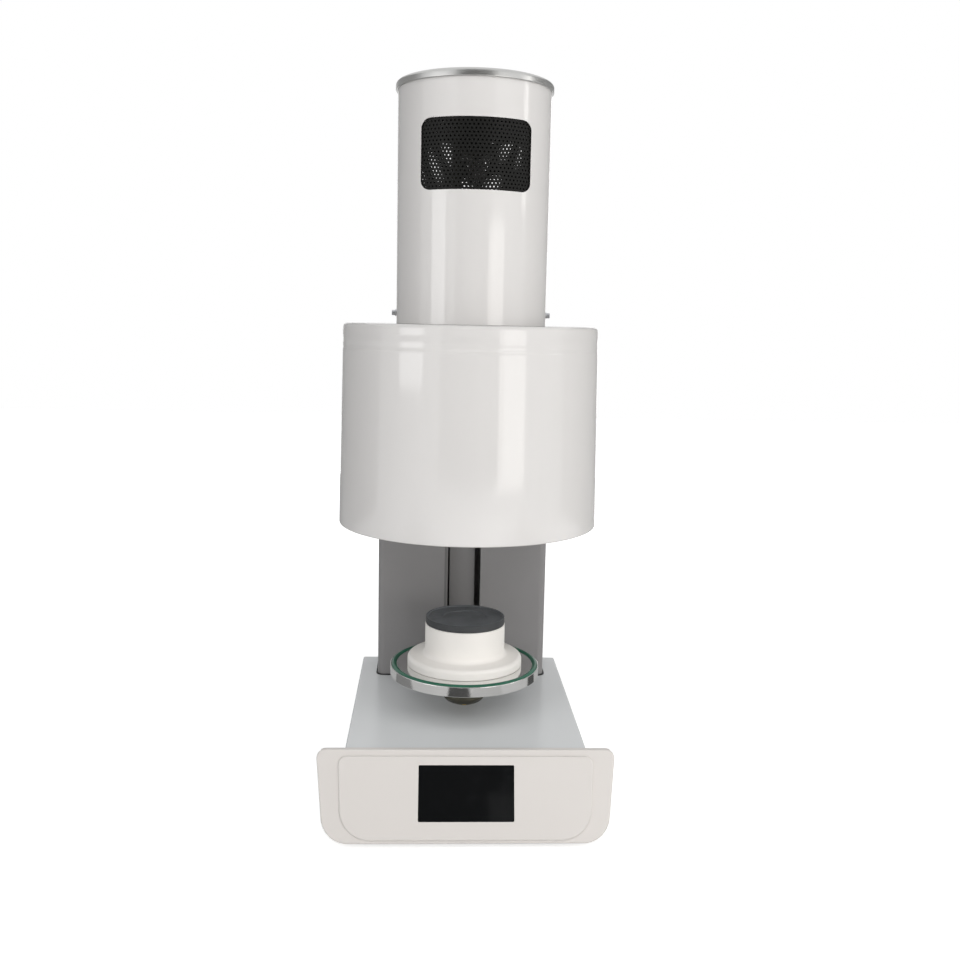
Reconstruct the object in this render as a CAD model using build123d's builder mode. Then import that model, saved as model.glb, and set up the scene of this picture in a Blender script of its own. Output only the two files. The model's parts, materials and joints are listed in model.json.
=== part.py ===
from build123d import *
import os
from math import cos, radians, sin

# Dental lab furnace: a base with a tilted front panel, a column with a motor lift,
# a vacuum muffle above the lift table, and a press drive in the tower on top.
# Millimetres. +Z is up, the front faces -Y, and the bench is z = 0. All Y sizes below are
# measured from the lift axis, the vertical line through the table, muffle and tower.

# ---------------------------------------------------------------- driving dimensions
# Heights
foot_height = 9.0            # rubber feet, bench to the base pan
base_height = 90.0           # bench to the top of the base cover
table_gap = 46.0             # base cover to the underside of the lift table
table_thickness = 10.7
muffle_gap = 214.7           # base cover to the lower rim of the muffle housing
muffle_height = 207.8
tower_height = 239.2         # muffle top to the top of the tower cap

# Base
sheet = 1.5                  # folded steel sheet
base_width = 244.0
base_front = 104.9           # lift axis to the front wall of the base cover
base_back = 190.9            # lift axis to the rear wall of the base cover
cover_corner = 3.0
cover_fold = 2.0
pan_flange = 14.0            # height of the pan's folded rim
foot_radius = 12.0
foot_inset = 18.0            # base edge to the centre of a foot
foot_front_inset = 26.0      # front wall of the base to the centre of a front foot

# Front panel
panel_tilt = 20.1            # degrees that the face leans back from upright
bezel_low = 5.9              # bench to the lower edge of the bezel
bezel_reach = 138.2          # lift axis to the lower front edge of the bezel
bezel_height = 91.0          # along the tilted face
bezel_half_low = 141.2
bezel_half_high = 150.6
bezel_corner_low = 27.0
bezel_corner_high = 9.0
bezel_wall = 3.0
bezel_lip = 3.0              # lip that covers the front edge of the base cover
bezel_round = 2.0            # rounding of the bezel's front edge
plate_round = 1.6
plate_rise = 2.5             # thickness of the raised control plate
plate_low = 4.0
plate_high = 85.0
plate_half_low = 124.0
plate_half_high = 128.2
plate_corner_low = 31.0
plate_corner_high = 8.0
screen_width = 95.0
screen_height = 53.9
screen_low = 22.0            # along the face, to the lower edge of the screen
screen_recess = 0.8
screen_border = 5.0          # hidden frame of the display around its window
screen_depth = 3.0
screen_gap = 0.25            # around the glass, inside the plate's window
screen_corner = 1.0

# Column
column_width = 201.0
column_front = 121.0
column_depth = 62.0
column_corner = 8.0
column_height = 340.0        # above the base cover
column_lip = 10.0
column_gap = 2.0             # joint between column and base cover, filled by a gasket
slot_width = 43.0
slot_low = 8.0               # base cover to the lower end of the slot
slot_high_gap = 2.0          # slot end to the lower rim of the muffle
slot_corner = 6.0

# Lift drive
rail_width = 30.0
rail_depth = 12.0
rail_setback = 16.0          # column front to the face of the rail
screw_setback = 42.0         # column front to the lead screw axis
screw_radius = 6.0
journal_radius = 4.0
motor_size = 42.3
motor_length = 44.0
motor_pad = 1.5              # base pan to the underside of the lift motor
motor_corner_share = 9       # motor size over its corner radius
motor_hole_radius = 1.6
motor_shaft = 2.5            # radius, both motors
motor_plate = 6.0
carriage_height = 46.0
carriage_half = 26.0
carriage_front = 10.7         # carriage material in front of the rail
carriage_spare = 30.8        # top of the carriage, table closed, to the upper bearing
carriage_drop = 32.0         # table underside to the lower face of the carriage
arm_width = 34.0
arm_height = 16.0
eye_radius = 27.0
hub_radius = 24.0
hub_tip = 9.5
hub_cone = 9.5
hub_drop = 18.5              # arm underside to the tip of the hub
spigot_radius = 10.0

# Lift table and what stands on it
table_radius = 80.8
table_edge = 0.5
seal_radius = 76.9
seal_section = 2.9
seal_rise = 1.6
pedestal_foot_radius = 62.2
pedestal_foot_height = 11.6
pedestal_radius = 43.2
pedestal_height = 45.4
pedestal_edge = 0.8
pedestal_foot_edge = 3.5
pedestal_foot_cove = 4.0
tray_radius = 42.7
tray_thickness = 7.7
tray_rim = 2.2
tray_edge = 0.7
tray_recess = 1.6
tray_centre = 24.0           # radius of the deeper middle of the tray
tray_centre_depth = 0.8

# Muffle
muffle_radius_top = 132.2
muffle_radius_low = 135.9
muffle_wall = 2.0
muffle_fillet = 7.5
muffle_rim_round = 1.2
flange_rise = 2.0            # housing rim to the sealing face
flange_thickness = 8.0
flange_bore = 66.0
flange_radius = 118.0
floor_bore = 84.0
pot_radius = 112.0
pot_wall = 2.0
pot_lid = 3.0
pot_height = 171.3
chamber_radius = 48.0
chamber_bore = 46.0          # opening in the lower insulation that the pedestal enters
foot_room = 3.0              # around and above the pedestal's foot when closed
chamber_floor = 37.3         # flange top to the chamber floor
chamber_height = 76.0
plunger_rest = 2.0           # chamber top to the tip of the raised plunger
quartz_wall = 3.5
coil_wire = 1.3
coil_turns = 9
coil_gap = 0.5               # coil to the quartz tube, and to the side insulation
lug_half = 45.0
lug_height = 65.0
lug_thickness = 5.0
lug_corner = 6.0

# Tower
tower_radius = 77.6
tower_wall = 1.6
cap_radius = 79.8
cap_skirt = 8.0
window_width = 106.2
window_height = 67.0
window_low = 128.1           # muffle top to the lower edge of the window
window_corner = 9.0
grille_margin = 7.0
grille_sheet = 1.0
mount_ring_height = 21.5
mount_ring_wall = 4.0
ring_gap = 0.2               # mount ring to the inside of the tower tube
cap_gap = 0.1                # tower tube to the inside of the cap
cap_round = 1.6
cap_rim = 0.6
tower_screw_height = 11.0    # muffle top to the tower screws

# Press drive inside the tower
plunger_radius = 9.0
plunger_gap = 2.5            # around the plunger in the roof insulation
plunger_edge = 1.0
press_stroke = 40.0
press_axis_x = 4.0
press_axis_y = 22.0
press_motor_size = 30.0
press_motor_length = 40.0
motor_seat_rise = 47.5       # lower edge of the window to the press motor's seat
press_screw_radius = 4.0
spine_width = 10.0
spine_depth = 30.0
spine_right = -12.0          # x of the spine face that carries the motor plate
pillar_height = 30.0
crosshead_rest = 60.0        # press plate to the crosshead at the end of its stroke

# Clearances
fit = 0.3                    # between sheet parts and moving blocks
running = 0.05               # radial, shaft in bearing
seal_gap = 0.3               # table seal to the sealing face when closed

# ---------------------------------------------------------------- levels and axes worked out
table_low_z = base_height + table_gap
table_top_z = table_low_z + table_thickness
muffle_low_z = base_height + muffle_gap
muffle_top_z = muffle_low_z + muffle_height
tower_top_z = muffle_top_z + tower_height
flange_low_z = muffle_low_z + flange_rise
flange_top_z = flange_low_z + flange_thickness
pot_top_z = flange_top_z + pot_height
chamber_low_z = flange_top_z + chamber_floor
chamber_top_z = chamber_low_z + chamber_height
column_top_z = base_height + column_height
pan_top_z = foot_height + sheet
foot_top_z = table_top_z + pedestal_foot_height
tray_low_z = table_top_z + pedestal_height
screw_y = column_front + screw_setback
rail_front = column_front + rail_setback
rail_back = rail_front + rail_depth
lift_travel = flange_low_z - seal_gap - table_top_z - seal_rise
column_back = column_front + column_depth

barb_reach = 20.0            # rear wall of the base to the end of the hose barb
front_reach = bezel_reach + plate_rise * cos(radians(panel_tilt)) - plate_low * sin(radians(panel_tilt))
lift_y = (front_reach - base_back - barb_reach) / 2


def deck(height):
    """Level plane at a height, with its origin on the lift axis."""
    return Plane((0, lift_y, height), z_dir=(0, 0, 1))


def ring(outer, inner, low, high):
    """Flat ring about the lift axis."""
    with BuildPart() as piece:
        with BuildSketch(deck(low)):
            Circle(outer)
            Circle(inner, mode=Mode.SUBTRACT)
        extrude(amount=high - low)
    return piece


def column_outline(gap):
    """Outline of the column and its back cover, grown by a gap, with rounded front corners."""
    with Locations((0, column_front + (column_depth + sheet) / 2)):
        outline = Rectangle(column_width + 2 * gap, column_depth + sheet + 2 * gap)
    fillet(outline.vertices().group_by(Axis.Y)[0], column_corner + gap)


def keep(piece, name):
    """Label a finished piece and write it out."""
    piece.part.label = name
    export_step(piece.part, f"parts/{name}.step")


os.makedirs("parts", exist_ok=True)

# ---------------------------------------------------------------- base
base_depth = base_front + base_back
base_mid = (base_back - base_front) / 2
rear_wall = Plane((0, lift_y + base_back, 0), x_dir=(-1, 0, 0), z_dir=(0, 1, 0))

pan_width = base_width - 2 * sheet - 2 * fit
pan_depth = base_depth - 2 * sheet - 2 * fit
foot_spots = [
    (sx * (base_width / 2 - foot_inset), y)
    for sx in (-1, 1)
    for y in (foot_front_inset - base_front, base_back - foot_inset)
]
foot_screw_radius = 2.0

board_x = -44.0
board_y = -38.0
board_width = 116.0
board_depth = 84.0
board_sheet = 1.6
board_standoff = 8.0
board_hole_inset = 5.0
stud_radius = 3.0

fan_x = -68.0
fan_y = 66.0
fan_size = 60.0
fan_depth = 15.0
fan_bore = 28.0
fan_hub = 12.0
fan_axle = 2.0

board_hole_radius = 1.6
vent_slot_length = 34.0
vent_slot_width = 3.5
vent_slot_pitch = 8.0
vent_slot_count = 5

cover_screw_radius = 1.8
cover_screw_head = 3.6
cover_screw_rim = 2.2
cover_screw_rise = 8.0
cover_screw_length = 6.0
cover_screw_inset = 47.5
cover_screw_spots = [cover_screw_inset - base_front, base_back - cover_screw_inset]
side_plane = Plane((0, lift_y, 0), x_dir=(0, 1, 0), z_dir=(1, 0, 0))
cover_screw_holes = [(y, foot_height + cover_screw_rise) for y in cover_screw_spots]

with BuildPart() as base_pan:
    with BuildSketch(deck(foot_height)):
        with Locations((0, base_mid)):
            RectangleRounded(pan_width, pan_depth, cover_corner)
    extrude(amount=pan_flange)
    with BuildSketch(deck(pan_top_z)):
        with Locations((0, base_mid)):
            RectangleRounded(pan_width - 2 * sheet, pan_depth - 2 * sheet, cover_corner - sheet)
    extrude(amount=pan_flange, mode=Mode.SUBTRACT)
    with BuildSketch(deck(pan_top_z)):
        with Locations((board_x, board_y)):
            with GridLocations(
                board_width - 2 * board_hole_inset, board_depth - 2 * board_hole_inset, 2, 2
            ):
                Circle(stud_radius)
    extrude(amount=board_standoff)
    with BuildSketch(deck(foot_height)):
        with Locations(*foot_spots):
            Circle(foot_screw_radius + running)
        with Locations((fan_x, fan_y)):
            with GridLocations(1, vent_slot_pitch, 1, vent_slot_count):
                SlotOverall(vent_slot_length, vent_slot_width)
    extrude(amount=sheet, mode=Mode.SUBTRACT)
    with BuildSketch(side_plane):
        with Locations(*cover_screw_holes):
            Circle(cover_screw_radius + running)
    extrude(amount=base_width, both=True, mode=Mode.SUBTRACT)
keep(base_pan, "base_pan")

port_z = 34.0                # height of the rear connectors
inlet_x = -70.0
outlet_x = 70.0
switch_x = -34.0
barb_x = 36.0
socket_width = 27.5
socket_height = 20.0
switch_width = 19.2
switch_height = 13.0
barb_thread = 5.0
front_window_half = 104.0
front_window_low = 24.0
front_window_high = 76.0

with BuildPart() as base_cover:
    with BuildSketch(deck(foot_height)):
        with Locations((0, base_mid)):
            Rectangle(base_width, base_depth)
    extrude(amount=base_height - foot_height)
    fillet(base_cover.edges().filter_by(Axis.Z), cover_corner)
    fillet(base_cover.edges().group_by(Axis.Z)[-1], cover_fold)
    with BuildSketch(deck(foot_height)):
        with Locations((0, base_mid)):
            RectangleRounded(base_width - 2 * sheet, base_depth - 2 * sheet, cover_corner - sheet)
    extrude(amount=base_height - foot_height - sheet, mode=Mode.SUBTRACT)
    # cut-out that the column passes through
    with BuildSketch(deck(base_height - sheet)):
        column_outline(column_gap)
    extrude(amount=sheet, mode=Mode.SUBTRACT)
    # window behind the front panel
    with BuildSketch(Plane((0, lift_y - base_front, 0), x_dir=(1, 0, 0), z_dir=(0, -1, 0))):
        with Locations((0, (front_window_low + front_window_high) / 2)):
            Rectangle(2 * front_window_half, front_window_high - front_window_low)
    extrude(amount=-sheet, mode=Mode.SUBTRACT)
    # rear cut-outs, seen from behind
    with BuildSketch(rear_wall):
        with Locations((-inlet_x, port_z), (-outlet_x, port_z)):
            Rectangle(socket_width + 2 * fit, socket_height + 2 * fit)
        with Locations((-switch_x, port_z)):
            Rectangle(switch_width + 2 * fit, switch_height + 2 * fit)
        with Locations((-barb_x, port_z)):
            Circle(barb_thread + running)
    extrude(amount=-sheet, mode=Mode.SUBTRACT)
    with BuildSketch(side_plane):
        with Locations(*cover_screw_holes):
            Circle(cover_screw_radius + running)
    extrude(amount=base_width, both=True, mode=Mode.SUBTRACT)
keep(base_cover, "base_cover")


def side_screws(face, height, spots, head, head_depth, shank, length):
    """Screws that enter both sides of a piece, heads outside at x = face."""
    with BuildPart() as screws:
        for side in (-1, 1):
            plane = Plane((side * face, lift_y, height), x_dir=(0, 1, 0), z_dir=(side, 0, 0))
            with BuildSketch(plane):
                with Locations(*[(y, 0) for y in spots]):
                    Circle(head)
            extrude(amount=head_depth)
            with BuildSketch(plane):
                with Locations(*[(y, 0) for y in spots]):
                    Circle(shank)
            extrude(amount=-length)
    return screws


base_side_screws = side_screws(
    base_width / 2, foot_height + cover_screw_rise, cover_screw_spots,
    cover_screw_head, cover_screw_rim, cover_screw_radius, cover_screw_length,
)

foot_tread_radius = 10.0
foot_head_radius = 3.5
with BuildPart() as base_feet:
    for x, y in foot_spots:
        with Locations((x, lift_y + y, foot_height / 2)):
            Cone(foot_tread_radius, foot_radius, foot_height)
        with Locations((x, lift_y + y, foot_height + sheet)):
            Cylinder(foot_screw_radius, 2 * sheet)
        with Locations((x, lift_y + y, foot_height / 6)):
            Cylinder(foot_head_radius, foot_height / 3, mode=Mode.SUBTRACT)
keep(base_feet, "base_feet")

board_low_z = pan_top_z + board_standoff
with BuildPart() as control_board:
    with BuildSketch(deck(board_low_z)):
        with Locations((board_x, board_y)):
            Rectangle(board_width, board_depth)
            with GridLocations(
                board_width - 2 * board_hole_inset, board_depth - 2 * board_hole_inset, 2, 2
            ):
                Circle(board_hole_radius, mode=Mode.SUBTRACT)
    extrude(amount=board_sheet)
keep(control_board, "control_board")

board_top_z = board_low_z + board_sheet
# (x, y, width, depth, height) of each component, from the board's centre
component_boxes = [
    (-34.0, 20.0, 34.0, 28.0, 26.0),
    (4.0, 24.0, 15.0, 20.0, 15.0),
    (22.0, 24.0, 15.0, 20.0, 15.0),
    (40.0, 24.0, 15.0, 20.0, 15.0),
    (-8.0, -8.0, 16.0, 16.0, 2.0),
    (30.0, -14.0, 24.0, 9.0, 9.0),
    (-40.0, -32.0, 26.0, 9.0, 11.0),
    (4.0, -33.0, 34.0, 8.0, 11.0),
]
capacitor_spots = [(-38.0, -10.0), (-26.0, -10.0)]
capacitor_radius = 5.0
capacitor_height = 20.0
with BuildPart() as board_components:
    for x, y, width, depth, height in component_boxes:
        with BuildSketch(deck(board_top_z)):
            with Locations((board_x + x, board_y + y)):
                Rectangle(width, depth)
        extrude(amount=height)
    with BuildSketch(deck(board_top_z)):
        with Locations(*[(board_x + x, board_y + y) for x, y in capacitor_spots]):
            Circle(capacitor_radius)
    extrude(amount=capacitor_height)
keep(board_components, "board_components")

supply_x = 62.0
supply_y = 34.0
supply_width = 84.0
supply_depth = 128.0
supply_height = 38.0
supply_slot_length = 60.0
supply_slot_width = 3.0
supply_slot_pitch = 12.0
supply_slot_count = 5
supply_slot_depth = 2.0
supply_slot_shift = 18.0     # towards the rear, clear of the terminals
terminal_height = 22.0
terminal_depth = 20.0
terminal_inset = 4.0
with BuildPart() as power_supply:
    with BuildSketch(deck(pan_top_z)):
        with Locations((supply_x, supply_y)):
            Rectangle(supply_width, supply_depth)
    extrude(amount=supply_height)
    with BuildSketch(deck(pan_top_z + supply_height)):
        with Locations((supply_x, supply_y + supply_slot_shift)):
            with GridLocations(supply_slot_pitch, 1, supply_slot_count, 1):
                SlotOverall(supply_slot_length, supply_slot_width, rotation=90)
    extrude(amount=-supply_slot_depth, mode=Mode.SUBTRACT)
    # terminal block shelf at the front end
    with BuildSketch(deck(pan_top_z + terminal_height)):
        with Locations((supply_x, supply_y - (supply_depth - terminal_depth) / 2)):
            Rectangle(supply_width - 2 * terminal_inset, terminal_depth)
    extrude(amount=supply_height, mode=Mode.SUBTRACT)
keep(power_supply, "power_supply")

fan_corner = 4.0
fan_hole_inset = 5.0
fan_hole_radius = 2.2
fan_web = 2.5
fan_strut = 4.0
axle_drop = 3.0              # top of the frame to the end of the axle
blade_count = 7
blade_chord = 13.0
blade_sheet = 1.4
blade_pitch_angle = 38.0
blade_root = 1.0             # blade sunk into the hub
tip_gap = 1.2
rotor_lid = 2.0
with BuildPart() as fan_frame:
    with BuildSketch(deck(pan_top_z)):
        with Locations((fan_x, fan_y)):
            RectangleRounded(fan_size, fan_size, fan_corner)
    extrude(amount=fan_depth)
    with BuildSketch(deck(pan_top_z)):
        with Locations((fan_x, fan_y)):
            Circle(fan_bore)
            with GridLocations(fan_size - 2 * fan_hole_inset, fan_size - 2 * fan_hole_inset, 2, 2):
                Circle(fan_hole_radius)
    extrude(amount=fan_depth, mode=Mode.SUBTRACT)
    with BuildSketch(deck(pan_top_z)):
        with Locations((fan_x, fan_y)):
            Circle(fan_hub)
            with PolarLocations(0, 2, angular_range=180):
                Rectangle(2 * fan_bore + fan_strut / 4, fan_strut)
    extrude(amount=fan_web)
    with BuildSketch(deck(pan_top_z)):
        with Locations((fan_x, fan_y)):
            Circle(fan_axle)
    extrude(amount=fan_depth - axle_drop)
keep(fan_frame, "fan_frame")

rotor_low_z = pan_top_z + fan_web + fit
rotor_height = fan_depth - fan_web - 2 * fit
blade_tip = fan_bore - tip_gap
blade_length = blade_tip - fan_hub + blade_root
with BuildPart() as fan_rotor:
    with BuildSketch(deck(rotor_low_z)):
        with Locations((fan_x, fan_y)):
            Circle(fan_hub)
    extrude(amount=rotor_height)
    blade_mid = rotor_low_z + rotor_height / 2
    with Locations(Plane((fan_x, lift_y + fan_y, blade_mid), z_dir=(0, 0, 1))):
        with PolarLocations(blade_tip - blade_length / 2, blade_count):
            Box(blade_length, blade_chord, blade_sheet, rotation=(blade_pitch_angle, 0, 0))
    with BuildSketch(deck(rotor_low_z)):
        with Locations((fan_x, fan_y)):
            Circle(fan_axle + running)
    extrude(amount=rotor_height - rotor_lid, mode=Mode.SUBTRACT)
keep(fan_rotor, "fan_rotor")

# ---------------------------------------------------------------- front panel
face_origin = (0, lift_y - bezel_reach, bezel_low)
face_normal = (0, -cos(radians(panel_tilt)), sin(radians(panel_tilt)))


def face(offset):
    """Plane parallel to the tilted front face, offset outwards, local y running up the face."""
    y = face_origin[1] + face_normal[1] * offset
    z = face_origin[2] + face_normal[2] * offset
    return Plane((0, y, z), x_dir=(1, 0, 0), z_dir=face_normal)


def tapered_outline(half_low, half_high, low, high, corner_low, corner_high, inset=0):
    """Closed panel outline: wider at the top, with large lower and small upper corners."""
    lean = (half_high - half_low) / (high - low)
    narrow = half_low + lean * inset - inset
    wide = half_high - lean * inset - inset
    corners = [
        (-narrow, low + inset), (narrow, low + inset), (wide, high - inset), (-wide, high - inset)
    ]
    lower = max(corner_low - inset, 1)
    upper = max(corner_high - inset, 1)
    with BuildSketch() as outline:
        with BuildLine():
            FilletPolyline(*corners, radius=[lower, lower, upper, upper], close=True)
        make_face()
    return outline.sketch


bezel_sizes = (
    bezel_half_low, bezel_half_high, 0, bezel_height, bezel_corner_low, bezel_corner_high
)
bezel_outline = tapered_outline(*bezel_sizes)
bezel_inside = tapered_outline(*bezel_sizes, inset=bezel_wall)
plate_outline = tapered_outline(
    plate_half_low, plate_half_high, plate_low, plate_high, plate_corner_low, plate_corner_high
)
trim_width = 3 * bezel_half_high
with BuildPart() as front_bezel:
    with BuildSketch(face(0)):
        add(bezel_outline)
    extrude(amount=bezel_reach, dir=(0, 1, 0))
    # trim to the front wall of the base, leaving a lip above the cover
    with BuildSketch(Plane((0, lift_y - base_front, 0), x_dir=(1, 0, 0), z_dir=(0, -1, 0))):
        with Locations((0, base_height / 2)):
            Rectangle(trim_width, base_height)
    extrude(amount=-3 * bezel_reach, mode=Mode.SUBTRACT)
    lip_plane = Plane((0, lift_y - base_front + bezel_lip, 0), x_dir=(1, 0, 0), z_dir=(0, -1, 0))
    with BuildSketch(lip_plane):
        with Locations((0, base_height)):
            Rectangle(trim_width, 2 * base_height)
    extrude(amount=-3 * bezel_reach, mode=Mode.SUBTRACT)
    front_edges = front_bezel.faces().sort_by(Axis((0, 0, 0), face_normal))[-1].edges()
    fillet(front_edges, bezel_round)
    with BuildSketch(face(-bezel_wall)):
        add(bezel_inside)
    extrude(amount=bezel_reach, dir=(0, 1, 0), mode=Mode.SUBTRACT)
    with BuildSketch(face(0)):
        with Locations((0, screen_low + screen_height / 2)):
            Rectangle(
                screen_width + 2 * screen_border + 2 * fit,
                screen_height + 2 * screen_border + 2 * fit,
            )
    extrude(amount=-bezel_wall, mode=Mode.SUBTRACT)
keep(front_bezel, "front_bezel")

with BuildPart() as control_plate:
    with BuildSketch(face(0)):
        add(plate_outline)
    extrude(amount=plate_rise)
    plate_edges = control_plate.faces().sort_by(Axis((0, 0, 0), face_normal))[-1].edges()
    fillet(plate_edges, plate_round)
    with BuildSketch(face(0)):
        with Locations((0, screen_low + screen_height / 2)):
            RectangleRounded(
                screen_width + 2 * screen_gap, screen_height + 2 * screen_gap,
                screen_corner + screen_gap,
            )
    extrude(amount=plate_rise, mode=Mode.SUBTRACT)
keep(control_plate, "control_plate")

with BuildPart() as touch_screen:
    with BuildSketch(face(-screen_depth)):
        with Locations((0, screen_low + screen_height / 2)):
            Rectangle(screen_width + 2 * screen_border, screen_height + 2 * screen_border)
    extrude(amount=screen_depth)
    with BuildSketch(face(0)):
        with Locations((0, screen_low + screen_height / 2)):
            RectangleRounded(screen_width, screen_height, screen_corner)
    extrude(amount=plate_rise - screen_recess)
keep(touch_screen, "touch_screen")

# ---------------------------------------------------------------- rear connectors
flange_sheet = 3.0
flange_corner = 5.0
flange_hole_inset = 4.0
flange_hole_radius = 1.7
body_corner = 2.0
socket_flange_width = 48.0
socket_flange_height = 26.0
recess_width = 24.4
recess_height = 16.6
recess_depth = 17.0
recess_corner = 2.5
pin_pitch = 7.0
pin_drop = 2.0
earth_rise = 3.0
pin_width = 2.0
pin_height = 4.0
pin_setback = 3.0            # flange face to the ends of the pins
slot_gap = 0.2               # around a pin, in the outlet's slots
body_depth = 24.0


def socket_body(x):
    """Flange outside the rear wall, with the connector body behind it."""
    with BuildPart() as body:
        with BuildSketch(rear_wall):
            with Locations((-x, port_z)):
                RectangleRounded(socket_flange_width, socket_flange_height, flange_corner)
                with GridLocations(socket_flange_width - 2 * flange_hole_inset, 1, 2, 1):
                    Circle(flange_hole_radius, mode=Mode.SUBTRACT)
        extrude(amount=flange_sheet)
        with BuildSketch(rear_wall):
            with Locations((-x, port_z)):
                RectangleRounded(socket_width, socket_height, body_corner)
        extrude(amount=-body_depth)
    return body.part


pin_spots = [(-pin_pitch, -pin_drop), (pin_pitch, -pin_drop), (0, earth_rise)]
with BuildPart() as mains_inlet:
    add(socket_body(inlet_x))
    with BuildSketch(rear_wall.offset(flange_sheet)):
        with Locations((-inlet_x, port_z)):
            RectangleRounded(recess_width, recess_height, recess_corner)
    extrude(amount=-recess_depth, mode=Mode.SUBTRACT)
    with BuildSketch(rear_wall.offset(flange_sheet - recess_depth)):
        with Locations((-inlet_x, port_z)):
            with Locations(*pin_spots):
                Rectangle(pin_width, pin_height)
    extrude(amount=recess_depth - pin_setback)
keep(mains_inlet, "mains_inlet")

with BuildPart() as pump_outlet:
    add(socket_body(outlet_x))
    with BuildSketch(rear_wall.offset(flange_sheet)):
        with Locations((-outlet_x, port_z)):
            with Locations(*pin_spots):
                Rectangle(pin_width + 2 * slot_gap, pin_height + 2 * slot_gap)
    extrude(amount=-recess_depth, mode=Mode.SUBTRACT)
keep(pump_outlet, "pump_outlet")

switch_flange_width = 21.0
switch_flange_height = 15.0
switch_flange = 2.0
switch_corner = 1.5
switch_depth = 16.0
switch_well_depth = 8.0
rocker_width = 12.6
rocker_half = 5.2            # height of the rocker's back, above and below its pivot
rocker_root = 3.0            # pivot to the back of the rocker
rocker_peak = 2.2            # pivot to the rocker's raised ends
rocker_valley = 0.9          # pivot to the rocker's middle
rocker_reach = 5.8
rocker_tilt = 8.0
rocker_well = 6.6
pivot_radius = 1.0
pivot_stub = 0.9
with BuildPart() as switch_frame:
    with BuildSketch(rear_wall):
        with Locations((-switch_x, port_z)):
            RectangleRounded(switch_flange_width, switch_flange_height, switch_corner)
    extrude(amount=switch_flange)
    with BuildSketch(rear_wall):
        with Locations((-switch_x, port_z)):
            Rectangle(switch_width, switch_height)
    extrude(amount=-switch_depth)
    with BuildSketch(rear_wall.offset(switch_flange)):
        with Locations((-switch_x, port_z)):
            Rectangle(rocker_width + 2 * fit, 2 * rocker_well)
    extrude(amount=-switch_flange - switch_well_depth, mode=Mode.SUBTRACT)
    with Locations((switch_x, lift_y + base_back, port_z)):
        Cylinder(
            pivot_radius + running, rocker_width + 2 * pivot_stub + 2 * running,
            rotation=(0, 90, 0), mode=Mode.SUBTRACT,
        )
keep(switch_frame, "switch_frame")

rocker_side = Plane(
    (switch_x - rocker_width / 2, lift_y + base_back, port_z), x_dir=(0, 1, 0), z_dir=(1, 0, 0)
)
with BuildPart() as power_rocker:
    with BuildSketch(rocker_side):
        with Locations(Rotation(0, 0, rocker_tilt)):
            Polygon(
                (-rocker_root, -rocker_half), (-rocker_root, rocker_half),
                (rocker_peak, rocker_reach), (rocker_valley, 0), (rocker_peak, -rocker_reach),
                align=None,
            )
    extrude(amount=rocker_width)
    with Locations((switch_x, lift_y + base_back, port_z)):
        Cylinder(pivot_radius, rocker_width + 2 * pivot_stub, rotation=(0, 90, 0))
keep(power_rocker, "power_rocker")

barb_radius = 4.0
barb_bore = 2.5
barb_nut = 7.5
barb_nut_height = 4.0
barb_thread_length = 14.0
with BuildPart() as vacuum_port:
    with BuildSketch(rear_wall):
        with Locations((-barb_x, port_z)):
            RegularPolygon(barb_nut, 6)
    extrude(amount=barb_nut_height)
    with BuildSketch(rear_wall):
        with Locations((-barb_x, port_z)):
            Circle(barb_thread)
    extrude(amount=-barb_thread_length)
    with BuildSketch(rear_wall):
        with Locations((-barb_x, port_z)):
            Circle(barb_radius)
    extrude(amount=barb_reach)
    with BuildSketch(rear_wall.offset(-barb_thread_length)):
        with Locations((-barb_x, port_z)):
            Circle(barb_bore)
    extrude(amount=barb_thread_length + barb_reach, mode=Mode.SUBTRACT)
    with BuildSketch(rear_wall.offset(-sheet)):
        with Locations((-barb_x, port_z)):
            RegularPolygon(barb_nut, 6)
            Circle(barb_thread, mode=Mode.SUBTRACT)
    extrude(amount=-barb_nut_height)
keep(vacuum_port, "vacuum_port")

# ---------------------------------------------------------------- column
column_inner_half = column_width / 2 - sheet
slot_low_z = base_height + slot_low
slot_high_z = muffle_low_z - slot_high_gap
carrier_bolt_radius = 3.0
carrier_bolt_inset = 15.0    # edge of the lug to its bolts
carrier_bolt_rise = 20.0     # flange to the lower bolts
carrier_bolt_spots = [
    (sx * (lug_half - carrier_bolt_inset), flange_top_z + rise)
    for sx in (-1, 1)
    for rise in (carrier_bolt_rise, lug_height - carrier_bolt_inset)
]
column_face = Plane((0, lift_y + column_front, 0), x_dir=(1, 0, 0), z_dir=(0, -1, 0))
back_cover_face = Plane(
    (0, lift_y + column_back + sheet, 0), x_dir=(-1, 0, 0), z_dir=(0, 1, 0)
)
back_screw_x = column_inner_half - column_lip / 2
back_screw_inset = 20.0
back_screw_levels = [
    base_height + back_screw_inset, base_height + column_height / 2, column_top_z - back_screw_inset
]
back_screw_spots = [(sx * back_screw_x, z) for sx in (-1, 1) for z in back_screw_levels]

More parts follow.
